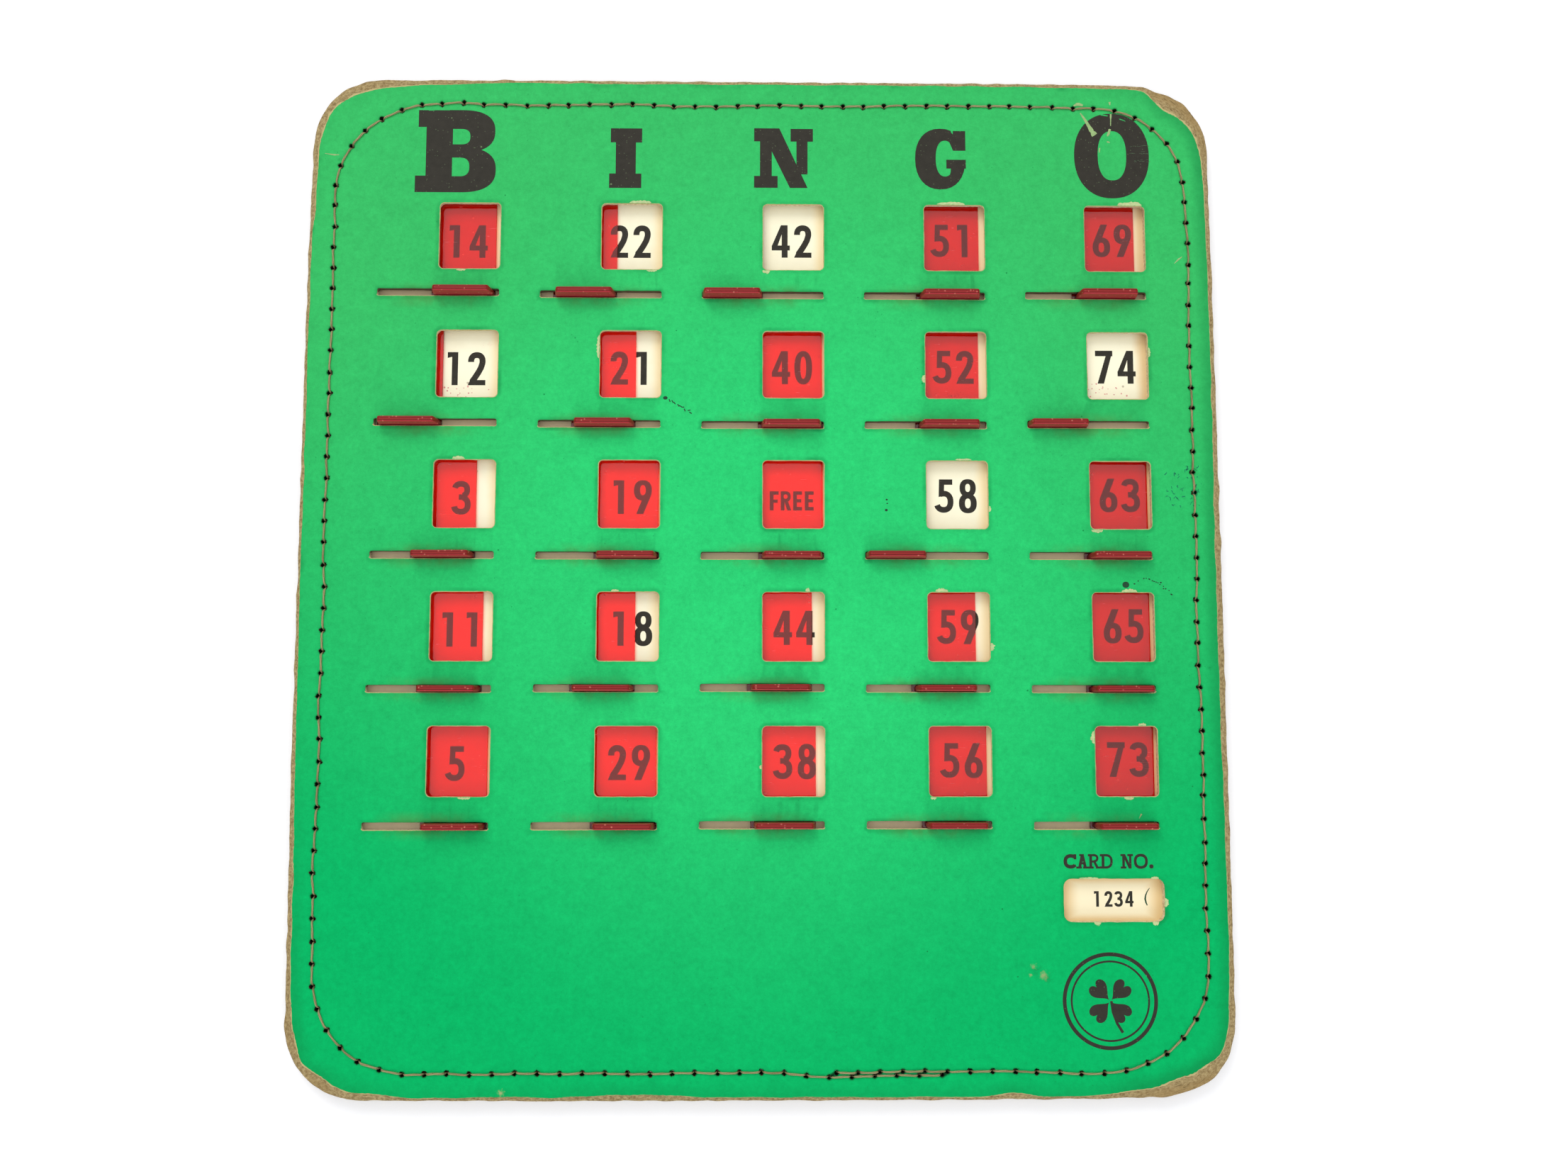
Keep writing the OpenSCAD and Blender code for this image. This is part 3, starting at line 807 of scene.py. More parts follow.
# Outlines and holes of bold condensed digits, 3.7 wide and 7.1 high
DIGITS = {
    "0": ([oval(1.87, 3.55, 1.87, 3.6)], [oval(1.87, 3.55, 0.62, 2.4)]),
    "1": ([bar(0.93, 0, 2.2, 7.1), poly((0, 5.85), (1.0, 6.1), (1.0, 7.1), (0, 7.1))], []),
    "2": ([band([*oval(1.83, 5.12, 1.2, 1.36, 184, -20), (2.72, 3.75), (2.2, 2.75), (1.55, 1.7), (0.9, 0.75)], 1.26),
           poly((0, 0), (3.7, 0), (3.7, 1.12), (1.2, 1.12)), poly((0, 0), (1.3, 0), (1.75, 1.3), (0.62, 1.42))], []),
    "3": ([band(oval(1.62, 5.22, 1.28, 1.27, 165, -75), 1.2), band(oval(1.66, 2.08, 1.42, 1.48, 75, -168), 1.22),
           bar(1.2, 3.1, 2.35, 4.25)], []),
    "4": ([bar(2.12, 0, 3.38, 7.1), bar(0, 1.58, 3.85, 2.66),
           poly((0, 1.9), (1.1, 2.2), (2.65, 6.6), (2.5, 7.1), (1.95, 7.1), (0, 2.5))], []),
    "5": ([bar(0.72, 5.95, 3.45, 7.1), poly((0.55, 3.35), (1.65, 3.6), (1.78, 7.1), (0.66, 7.1)),
           band(oval(1.58, 2.36, 1.46, 1.72, 118, -158), 1.22)], []),
    "6": ([oval(1.87, 2.12, 1.87, 2.16), poly((0, 2.3), (0.3, 3.5), (1.75, 7.1), (3.2, 7.1), (1.95, 3.9), (1.3, 2.4))],
          [oval(1.87, 2.06, 0.6, 1.08)]),
    "7": ([bar(0, 5.92, 3.68, 7.1), poly((2.35, 6.3), (3.68, 6.3), (3.68, 6.9), (1.78, 0), (0.42, 0))], []),
    "8": ([oval(1.87, 5.27, 1.7, 1.9), oval(1.87, 2.02, 1.87, 2.08)],
          [oval(1.87, 5.3, 0.52, 0.86), oval(1.87, 2.02, 0.6, 1.04)]),
}
DIGITS["9"] = [[np.array([3.74, 7.1]) - p for p in outlines] for outlines in DIGITS["6"]]


def free_word():
    """Outlines and holes of the middle window's word, 9.2 wide and 4.05 high, in plain block capitals."""
    t = 0.78
    e = [bar(0, 0, t, 4.05), bar(0, 0, 1.85, 0.74), bar(0, 1.7, 1.7, 2.38), bar(0, 3.31, 1.85, 4.05)]
    f = [bar(0, 0, t, 4.05), bar(0, 1.6, 1.65, 2.28), bar(0, 3.31, 1.85, 4.05)]
    r = [bar(0, 0, t, 4.05), oval(1.05, 2.93, 1.02, 1.12), bar(0, 1.81, 1.05, 4.05),
         poly((0.75, 1.95), (1.45, 2.0), (2.2, 0), (1.35, 0))]
    solids = [p + [x, 0] for x, letter in ((0, f), (2.3, r), (4.88, e), (7.32, e)) for p in letter]
    return solids, [oval(3.3, 2.93, 0.42, 0.46)]


# The slab letter at the head of each column: place of its lower left corner on the card, outlines and holes
HEADINGS = {
    "b": ((-73.5, 80.85), [
        bar(2.2, 0, 7.8, 18.0), bar(0.5, 14.3, 8.5, 18.0), bar(0, 0, 8.5, 3.6),
        poly((7.0, 9.0), *oval(9.6, 13.4, 7.15, 4.65, -66, 90, 2.5), (7.0, 18.05)),
        poly((7.0, 0), *oval(9.4, 4.95, 7.6, 4.95, -90, 66, 2.5), (7.0, 9.8))], [
        poly((7.8, 10.5), *oval(9.5, 12.2, 2.0, 1.7, -90, 90, 2.6), (7.8, 13.9)),
        poly((7.75, 3.5), *oval(9.3, 5.55, 2.1, 2.05, -90, 90, 2.6), (7.75, 7.6))]),
    "i": ((-32.5, 82.0), [bar(1.35, 0, 5.6, 13.1), bar(0.25, 10.0, 6.9, 13.1), bar(0, 0, 6.8, 3.15)], []),
    "n": ((-1.8, 82.2), [
        bar(1.25, 0, 3.75, 13.0), bar(0, 10.2, 5.35, 13.1), bar(0, 0, 5.0, 2.6), bar(7.75, 10.2, 12.5, 13.0),
        bar(9.0, 3, 11.35, 13.0), poly((1.3, 13.1), (5.35, 13.1), (11.35, 0), (7.6, 0))], []),
    "g": ((32.45, 82.0), [
        oval(5.35, 6.75, 5.35, 6.7, power=2.25), bar(8.1, 8.6, 10.75, 12.95), bar(6.65, 4.65, 10.8, 6.6)], [
        poly(*oval(6.35, 6.85, 1.95, 3.95, 62, 300, 2.3), (7.55, 3.9), (7.6, 4.65), (6.65, 4.65), (6.65, 6.6),
             (12, 6.6), (12, 8.6), (8.1, 8.6)),
        poly((10.8, 13.2), (12, 13.2), (12, 5.0), (10.8, 5.0)),
        poly((8.1, 12.2), (8.1, 14), (7.4, 14), (7.75, 12.6))]),
    "o": ((66.4, 80.3), [oval(8.0, 9.35, 8.0, 9.35, power=2.2, count=65)],
          [oval(8.1, 9.4, 3.05, 5.45, power=2.35, count=49)]),
}
# Each window's number, and where its digits start, from the window's middle
NUMBERS = [
    ("14", -4.8, -0.5), ("22", -4.7, 0.1), ("42", -4.55, 0.2), ("51", -4.5, 0.9), ("69", -4.2, 0.35),
    ("12", -4.6, -0.3), ("21", -4.4, 1.0), ("40", -4.5, 0.25), ("52", -4.3, 0.35), ("74", -4.15, 0.55),
    ("3", -2.75, 0), ("19", -3.45, 0.8), ("", -4.9, 0), ("58", -4.15, 0.65), ("63", -3.9, 0.9),
    ("11", -4.35, 0.65), ("18", -3.2, 1.15), ("44", -4.1, 0.6), ("59", -3.95, 0.7), ("65", -3.65, 1.0),
    ("5", -2.75, 0), ("29", -3.9, 0.95), ("38", -3.9, 0.9), ("56", -3.6, 1.15), ("73", -3.5, 1.35)]
# How steeply the rows of numbers climb to the right
SHEET_TILT = 0.0062
CARD_NUMBER = "1234"
CAPTION_AT, CAPTION_H = (61.4, -60.15), 2.9
# The roundel's middle, and the outer and inner radius of its rings, with their points
EMBLEM_AT = (70.2, -86.4)
EMBLEM_RINGS = ((9.6, 8.85, 97), (8.0, 7.62, 81))


def put(kept, shapes, x, y=0.0, scale=1):
    """Adds outlines and holes, scaled and moved, to the ones kept."""
    for outlines, more in zip(kept, shapes):
        outlines.extend(p * scale + [x, y] for p in more)


def caption_word():
    """Outlines and holes of the small slab caption over the card number, 18.1 wide and 2.9 high."""
    t, h = 0.72, CAPTION_H
    foot = bar(0, 0, 1.15, 0.42)
    letters = (
        (0, [band(oval(1.35, h / 2, 1.1, h / 2 - t / 2, 52, 318), t), bar(1.95, 1.85, 2.5, h - 0.02),
             bar(1.95, 0.35, 2.4, 0.8)]),
        (2.45, [poly((0.35, 0), (0.95, 0), (1.55, h), (1.0, h)), poly((1.6, 0), (2.2, 0), (1.55, h), (1.0, h)),
                foot, bar(1.4, 0, 2.55, 0.42), bar(0.7, 0.85, 1.9, 1.25), bar(0.65, h - 0.4, 1.6, h)]),
        (4.85, [bar(0.3, 0, 0.85, h), foot, bar(0, h - 0.45, 1.4, h),
                band(oval(1.2, h - 0.82, 0.72, 0.6, -90, 90), 0.46), bar(0.5, 1.2, 1.3, 1.62),
                poly((1.0, 1.5), (1.5, 1.5), (2.3, 0), (1.7, 0)), bar(1.6, 0, 2.55, 0.42)]),
        (7.3, [bar(0.35, 0, 0.9, h), bar(0, 0, 1.3, 0.45), bar(0, h - 0.45, 1.3, h),
               band(oval(1.2, h / 2, 1.15, h / 2 - 0.23, -90, 90), 0.48)]),
        (11.5, [bar(0.35, 0, 0.85, h), foot, bar(0, h - 0.42, 0.9, h), bar(1.75, 0, 2.2, h),
                bar(1.4, h - 0.42, 2.55, h), poly((0.35, h), (0.95, h), (2.2, 0), (1.65, 0))]),
        (14.2, [oval(1.42, h / 2, 1.42, h / 2 + 0.05)]),
        (17.3, [oval(0.45, 0.42, 0.42, 0.42)]))
    word = [], []
    for shift, shapes in letters:
        put(word, (shapes,), shift)
    put(word, ([], [oval(1.42, h / 2, 0.88, h / 2 - 0.5)]), 14.2)
    return word


def leaf():
    """Outlines of four hearts round their middle, x = 16 sin^3 a and y = 13 cos a - 5 cos 2a - 2 cos 3a - cos 4a
    for each, on a stem."""
    a = np.linspace(0, TAU, 41)[:-1]
    heart = np.stack([0.155 * 16 * np.sin(a) ** 3 * 0.78,
                      0.155 * (13 * np.cos(a) - 5 * np.cos(2 * a) - 2 * np.cos(3 * a) - np.cos(4 * a)) + 2.95], 1)
    leaves = []
    for quarter in range(4):
        t = quarter * TAU / 4 + TAU / 8
        leaves.append(heart @ np.array([[math.cos(t), math.sin(t)], [-math.sin(t), math.cos(t)]]))
    return leaves + [band([(0.2, 0), (0.5, -2.2), (1.3, -4.4), (2.4, -6.2)], 0.55)]


def print_numbers(context, ink):
    """The numbers on the sheet, each digit's outlines moved to its window, as one thin film of ink."""
    m = millimetres(context)
    kept = [], []
    for (text, *starts), (cx, cy) in zip(NUMBERS, windows(m)):
        base = cy - 3.85 + SHEET_TILT * (cx - m.grid_x + 34)
        if not text:
            put(kept, free_word(), cx + starts[0], base + 0.62)
        for kind, start in zip(text, starts):
            put(kept, DIGITS[kind], cx + start, base)
    for place, kind in enumerate(CARD_NUMBER):
        put(kept, DIGITS[kind], m.label_x - 3.6 + 2.12 * place, m.label_y - 1.55, 0.44)
    shell = Shell()
    shell.slab(kept[0], level("number_sheet")[1], 0.012, kept[1])
    return finish_piece(shell.build("numbers_print"), "card", [ink])


def print_headings(ink):
    """The column letters, the caption and the roundel on the facing, as one thin film of ink."""
    face = level("front_facing")[1]
    shell = Shell()

    def press(shapes, place):
        kept = [], []
        put(kept, shapes, *place)
        shell.slab(kept[0], face, 0.014, kept[1])

    for place, *shapes in HEADINGS.values():
        press(shapes, place)
    press(caption_word(), CAPTION_AT)
    for outer, inner, count in EMBLEM_RINGS:
        press([[oval(0, 0, r, r, power=2, count=count)] for r in (outer, inner)], EMBLEM_AT)
    press((leaf(), []), EMBLEM_AT)
    return finish_piece(shell.build("headings_print"), "card", [ink])


# Thread ---------------------------------------------------------------------------------

# Points along each stitch and round the thread, number of plies, how far from a hole the thread dips, and how far
# along it the plies turn by one radian over their number
STITCH_POINTS, ROUND_POINTS, PLIES, DIP_REACH, PLY_TURN = 34, 10, 3, 0.46, 0.42


def build_thread(context, name, node, run_z, dip, material, seed, phase):
    """A three-ply thread sewn through the holes: round each stitch's path, at angle a and twist w, the radius
    is r (1 + 0.12 cos 3 (a - w)). The path dips into each needle hole."""
    m = millimetres(context)
    holes = seam_holes(m)[0]
    stitches = len(holes) - 1
    t = np.arange(STITCH_POINTS) / STITCH_POINTS
    across = np.arange(stitches)[:, None] + t
    a, b = holes[:-1, None], holes[1:, None]
    flat = (a + (b - a) * t[:, None]).reshape(-1, 2)
    flat = np.concatenate([flat, holes[-1:]])
    step = np.linalg.norm(holes[1:] - holes[:-1], axis=1)[:, None]
    near = np.minimum(t * step, (1 - t) * step)
    z = run_z + dip * np.exp(-(near / DIP_REACH) ** 2)
    z = np.append(z.ravel(), z[-1, 0])
    draw = np.random.default_rng(seed)
    sag = np.interp(across.ravel(), np.arange(stitches + 1), draw.uniform(-0.03, 0.03, stitches + 1))
    z[:-1] += sag
    way = np.gradient(np.column_stack([flat, z]), axis=0)
    way /= np.linalg.norm(way, axis=1)[:, None]
    level_way = np.gradient(flat, axis=0)
    level_way /= np.linalg.norm(level_way, axis=1)[:, None]
    side = np.column_stack([-level_way[:, 1], level_way[:, 0], np.zeros(len(flat))])
    up = np.cross(way, side) * -1
    path = np.column_stack([flat, z])
    along = np.concatenate([[0], np.cumsum(np.linalg.norm(np.diff(path, axis=0), axis=1))])
    path += side * (0.05 * np.sin(along / 0.9 + phase) + 0.03 * np.sin(along / 2.3))[:, None]
    angle = np.arange(ROUND_POINTS) * TAU / ROUND_POINTS
    twist = along[:, None] / PLY_TURN + phase
    lobe = np.cos(PLIES * (angle[None] - twist / PLIES))
    radius = m.thread_r * (1 + 0.12 * lobe) * (1 + 0.06 * np.sin(along / 3.1)[:, None])
    rows = (path[:, None] + (radius * np.cos(angle))[..., None] * side[:, None]
            + (radius * np.sin(angle))[..., None] * up[:, None])
    shell = Shell()
    ends = [np.repeat(end[:, None], ROUND_POINTS, 1) for end in (path[:1], path[-1:])]
    shell.strip(np.concatenate([ends[0], rows, ends[1]]), 0, np.pad(lobe, ((1, 1), (0, 0))))
    piece = shell.build(name, None, 180)
    record_value(piece, "ply", 0.5 + 0.5 * np.concatenate(shell.values)[shell.kept])
    return finish_piece(piece, "card", [material], [node])


# Shutters -------------------------------------------------------------------------------


def shutter_shell(m, low, pane_top, high, face, rise):
    """One shutter from its pane's lower left corner: the pane's rounded rim is a profile carried round it, and
    the tab is a loft of rounded rectangles that narrow from the card's face to its grooved top."""
    shell = Shell()
    pane, normals = ring((m.pane_w / 2, m.pane_h / 2), m.pane_w, m.pane_h, m.pane_r, 0.55)
    soft = 0.09
    turn = np.linspace(0, TAU / 4, 4)
    rows = [(-soft - 0.35, low)]
    rows += [(soft * (math.sin(a) - 1), low + soft * (1 - math.cos(a))) for a in turn]
    rows += [(soft * (math.cos(a) - 1), pane_top - soft * (1 - math.sin(a))) for a in turn]
    # The tab's end stands flush with the pane's side, so there the top's ring keeps to the very edge
    beside = (pane[:, 0] > m.pane_w - 1.5) & (pane[:, 1] < m.tab_y + 2.5)
    rows += [(np.where(beside, -soft - 0.004, -soft - 0.35), pane_top)]
    wall = np.stack([shifted(pane, normals, *row) for row in rows])
    shell.strip(wall)
    base, out = ring((0, 0), m.tab_w, m.tab_t, m.tab_r, 0.22)
    centre = np.array([m.tab_x, m.tab_y + rise])
    round_r = 0.26
    heights = [(pane_top, 0.09), (pane_top + 0.05, 0.03), (pane_top + 0.12, 0), (face, 0), (face + 0.3, 0),
               (face + 1.5, 0.0), (high - round_r - 0.5, 0)]
    heights += [(high - round_r * (1 - math.sin(a)), -round_r * (1 - math.cos(a))) for a in np.linspace(0, TAU / 4, 6)]
    heights += [(high - 0.015, -0.29), (high - 0.11, -0.325), (high - 0.11, -0.35), (high - 0.04, -0.385)]
    loft = []
    for z, offset in heights:
        narrow = m.tab_w / 2 - (m.tab_w - m.tab_top_w) / 2 * np.clip((z - face) / (high - face), 0, 1)
        scaled = base * [narrow / (m.tab_w / 2), 1] + out * offset * [offset <= 0, 1]
        loft.append(lifted(scaled + centre, z))
    loft = np.stack(loft)
    shell.strip(loft[1:], 1)
    shell.strip(loft[:2], 0)
    shell.flat(wall[0])
    shell.flat(wall[-1], [loft[0, :, :2]])
    shell.flat(loft[-1], skin=1)
    return shell


def build_shutters(context, pane, tab):
    """The twenty-five shutters, all of one shape, each where the frame has it."""
    m = millimetres(context)
    face = level("front_facing")[1]
    low, high = level(SHUTTERS[0])
    pane_top = low + m.pane_t
    end_r = 0.75
    rises = np.array(SLOT_RISE).reshape(ROWS, ROWS).T.ravel()

    def round_ends(co):
        """Lowers the tab's upper ends by r - sqrt(r^2 - over^2), over being the reach into the last r."""
        over = np.clip(np.abs(co[:, 0] - m.tab_x) - (m.tab_top_w / 2 - end_r), 0, 0.98 * end_r)
        co[:, 2] -= (end_r - np.sqrt(end_r ** 2 - over ** 2)) * np.clip((co[:, 2] - high) / 1.2 + 1, 0, 1)
        return co

    for name, rise in zip(SHUTTERS, rises):
        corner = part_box(name)[0]
        offset = np.array([corner.x / MM, corner.y / MM, 0])
        shell = shutter_shell(m, low, pane_top, high, face, rise)
        piece = shell.build(name.replace("shutter", "red_shutter"), round_ends, 35, offset)
        co = coordinates(piece) - offset
        # The tab's front side, which its material paints lighter as painted light
        ahead = m.tab_y + rise - co[:, 1]
        raised = co[:, 2] > face - 0.6
        record_value(piece, "front", np.clip((ahead - 0.4) / 0.1, 0, 1) * raised)
        # The groove along the tab's top, which its material paints dark as painted shade
        groove_shade = (np.abs(ahead - 0.26) < 0.05) & (co[:, 2] > high - 0.3) & (co[:, 2] < high - 0.07)
        record_value(piece, "groove", groove_shade)
        finish_piece(piece, name, [pane, tab], [name])


# Materials ------------------------------------------------------------------------------


class Wire:
    """A node's output. Plus, minus, times, less than and abs each add one Math node, and | takes the greater."""

    def __init__(self, graph, socket):
        self.graph, self.socket = graph, socket

    def __getitem__(self, name):
        """Another output of the same node."""
        return Wire(self.graph, self.socket.node.outputs[name])

    def __add__(self, other):
        return self.graph.calc("ADD", self, other)

    def __radd__(self, other):
        return self.graph.calc("ADD", other, self)

    def __sub__(self, other):
        return self.graph.calc("SUBTRACT", self, other)

    def __rsub__(self, other):
        return self.graph.calc("SUBTRACT", other, self)

    def __mul__(self, other):
        return self.graph.calc("MULTIPLY", self, other)

    def __lt__(self, other):
        return self.graph.calc("LESS_THAN", self, other)

    def __or__(self, other):
        return self.graph.calc("MAXIMUM", self, other)

    def __abs__(self):
        return self.graph.calc("ABSOLUTE", self)


class Graph:
    """A node tree, with a short call for each kind of node. place is the vector that its textures use."""

    def __init__(self, tree, place=None):
        self.tree, self.place = tree, place

    def put(self, node, values):
        """Sets a node's inputs to values, or joins them to wires."""
        for key, value in values.items():
            if isinstance(value, Wire):
                self.tree.links.new(value.socket, node.inputs[key])
            else:
                node.inputs[key].default_value = value

    def add(self, kind, values=None, out=0, **settings):
        """A node with its settings and inputs, as one of its outputs."""
        node = self.tree.nodes.new(kind)
        for name, value in settings.items():
            setattr(node, name, value)
        self.put(node, values or {})
        return Wire(self, node.outputs[out])

    def calc(self, operation, a, b=0.0, c=0.0, clamp=False):
        """One step of arithmetic."""
        return self.add("ShaderNodeMath", {0: a, 1: b, 2: c}, operation=operation, use_clamp=clamp)

    def vector(self, operation, *values):
        """One step of arithmetic with vectors."""
        return self.add("ShaderNodeVectorMath", dict(enumerate(values)), operation=operation)

    def distance(self, vector):
        """A vector's length."""
        return self.vector("LENGTH", vector)["Value"]

    def axis(self, letter):
        """One coordinate of the place."""
        return self.add("ShaderNodeSeparateXYZ", {0: self.place}, letter)

    def wrap(self, value, pitch_mm):
        """A distance from the nearest of some lines that lie a pitch apart."""
        return self.calc("WRAP", value, -pitch_mm * MM / 2, pitch_mm * MM / 2)

    def ramp(self, value, low, high, to_low=0.0, to_high=1.0):
        """A value smoothly mapped from one range to another."""
        return self.add("ShaderNodeMapRange", {"Value": value, "From Min": low, "From Max": high, "To Min": to_low,
                                               "To Max": to_high}, interpolation_type="SMOOTHSTEP")

    def blend(self, share, a, b, kind="MIX"):
        """Two colours mixed by a share."""
        a, b = (c if isinstance(c, Wire) else (*c[:3], 1.0) for c in (a, b))
        return self.add("ShaderNodeMix", {0: share, 6: a, 7: b}, 2, data_type="RGBA", blend_type=kind)

    def stretched(self, vector, scale, turn=0.0):
        """Coordinates turned and scaled along each axis."""
        return self.add("ShaderNodeMapping", {"Vector": vector, "Rotation": (0.0, 0.0, turn), "Scale": scale})

    def noise(self, scale, detail=3.0, rough=0.55, warp=0.0, at=None):
        """Fractal noise from 0 to 1."""
        return self.add("ShaderNodeTexNoise", {"Vector": at or self.place, "Scale": scale, "Detail": detail,
                                               "Roughness": rough, "Distortion": warp})

    def use(self, name, **values):
        """A shared group with its own values."""
        return self.add("ShaderNodeGroup", {"Vector": self.place, **values}, node_tree=bpy.data.node_groups[name])

    def specks(self, scale, share, size):
        """A mask of small dots: their scale, the share of places that have one, and their size."""
        return self.use("specks", Scale=scale, Share=share, Size=size)

    def kept(self, name):
        """A value kept on the piece's points."""
        return self.add("ShaderNodeAttribute", None, "Fac", attribute_name=name)


class Finish(Graph):
    """A material round one Principled shader. Its colour, shade, is laid on coat by coat."""

    def __init__(self, name):
        self.made = bpy.data.materials.new(name)
        self.made.use_nodes = True
        super().__init__(self.made.node_tree)
        self.shader = self.tree.nodes["Principled BSDF"]
        self.place = self.add("ShaderNodeTexCoord", None, "Object")

    def lay(self, share, colour, kind="MIX"):
        """Covers a share of the colour so far with another one."""
        self.shade = self.blend(share, self.shade, colour, kind)

    def done(self, height=None, distance=0.0, strength=0.0, **values):
        """Feeds the shader its colour, the height of its bumps and its other inputs."""
        if height:
            bump = self.add("ShaderNodeBump", {"Height": height, "Distance": distance, "Strength": strength})
            self.put(self.shader, {"Normal": bump})
        self.put(self.shader, {"Base Color": self.shade, **{key.replace("_", " "): v for key, v in values.items()}})
        return self.made

    def surface(self, share, other):
        """Shows another shader instead, by a share."""
        both = self.add("ShaderNodeMixShader", {0: share, 1: Wire(self, self.shader.outputs[0]), 2: other})
        self.put(self.tree.nodes["Material Output"], {"Surface": both})
        return self.made


def tinted(colour, factor):
    """A colour times one factor, or times one for each channel."""
    return tuple(np.minimum(1.0, np.array(colour[:3]) * factor))


def group(name, inputs, outputs, fill):
    """A shader node group, built once. Its first input is a vector. fill(graph, other inputs) returns its outputs."""
    if name in bpy.data.node_groups:
        return
    tree = bpy.data.node_groups.new(name, "ShaderNodeTree")
    for label in ("Vector", *inputs):
        kind = "NodeSocketVector" if label in ("Vector", "Track", "Centre") else "NodeSocketFloat"
        tree.interface.new_socket(label, in_out="INPUT", socket_type=kind)
    for label in outputs:
        tree.interface.new_socket(label, in_out="OUTPUT", socket_type="NodeSocketFloat")
    start, end = tree.nodes.new("NodeGroupInput"), tree.nodes.new("NodeGroupOutput")
    graph = Graph(tree)
    graph.place, *others = (Wire(graph, start.outputs[label]) for label in ("Vector", *inputs))
    graph.put(end, dict(enumerate(fill(graph, *others))))


def make_groups():
    """The effects that several finishes share."""

    def grain(g, scale, amount):
        both = g.noise(scale, 5.0, 0.6) * 0.6 + g.noise(scale * 4.3, 2.0, 0.5) * 0.4
        return both, (both - 0.5) * amount

    def specks(g, scale, share, size):
        cells = g.add("ShaderNodeTexVoronoi", {"Vector": g.place, "Scale": scale, "Randomness": 1.0}, feature="F1")
        dot = cells["Distance"] < size * (g.noise(scale * 3.0, 2.0) + 0.5)
        return [dot * (g.add("ShaderNodeSeparateColor", {0: cells["Color"]}) < share)]

    def ragged_edge(g, scale, distance, width, rough):
        edge = width + (g.noise(scale, 4.0, 0.65) - 0.5) * rough
        return [g.ramp(edge - distance, -0.04, 0.04)]

    def fibres(g, track):
        long = g.noise(4.0, 4.0, 0.6, 0.4, at=g.stretched(track, (4.0, 34.0, 1.0)))
        return [long * 0.45 + g.noise(1700.0, 4.0, 0.65) * 0.55]

    def scratches(g):
        lines = g.noise(1.0, 2.0, 0.5, 0.8, at=g.stretched(g.place, (260.0, 5200.0, 1.0), 0.5))
        return [g.ramp(lines, 0.68, 0.72) * g.ramp(g.noise(240.0, 1.0), 0.5, 0.62)]

    def spot(g, centre, radius):
        away = g.distance(g.vector("MULTIPLY", g.vector("SUBTRACT", g.place, centre), (1.0, 1.0, 0.0)))
        return [g.ramp(away + g.noise(1300.0, 4.0, 0.65) * (radius * 2.6), radius, radius * 2.3, 1.0, 0.0)]

    group("grain", ["Scale", "Amount"], ["Value", "Swing"], grain)
    group("specks", ["Scale", "Share", "Size"], ["Mask"], specks)
    group("ragged edge", ["Scale", "Distance", "Width", "Ragged"], ["Mask"], ragged_edge)
    group("fibres", ["Track"], ["Value"], fibres)
    group("scratches", [], ["Mask"], scratches)
    group("spot", ["Centre", "Radius"], ["Mask"], spot)


# Stains on the facing: place and radius in millimetres, and colour
STAINS = [
    (55.2, -80.3, 1.7, "green_deep"), (57.6, -81.9, 1.3, "green_deep"), (54.9, -79.6, 0.8, "board"),
    (56.9, -81.3, 1.15, "board"), (54.2, -81.2, 0.45, "board"), (-51.6, -104.0, 0.9, "cream_dark"),
    (-63.9, 51.9, 0.5, "green_deep"), (92.2, -19.5, 0.8, "green_deep"), (-89.5, 88.0, 0.7, "green_deep")]
# Painted black shadow inside the needle holes, of the facings and of the boards
HOLE_SHADOW = (0.004, 0.005, 0.003)
BOARD_HOLE_SHADOW = (0.006, 0.005, 0.003)


def slot_grime_and_shade(g, m, cloud):
    """Share of finger grime and painted shade of the tabs: soft patches along both sides of every slot, by distances
    wrapped to one slot.
    """
    near, held = [], []
    for axis, middle, pitch in (("X", m.grid_x + m.slot_x, m.column_pitch), ("Y", m.grid_y + m.slot_y, m.row_pitch)):
        off = g.axis(axis) - middle * MM
        near.append(abs(g.wrap(off, pitch)))
        held.append(g.ramp(abs(off), 2.45 * pitch * MM, 2.5 * pitch * MM, 1.0, 0.0))
    patch = g.ramp(near[0], 0.004, 0.012, 1.0, 0.0) * g.ramp(near[1], 0.001, 0.0034, 1.0, 0.0)
    blotch = g.ramp(cloud * 0.5 + g.noise(420.0, 4.0, 0.6) * 0.5, 0.38, 0.62, 0.1, 0.48)
    return patch * blotch * (held[0] * held[1])


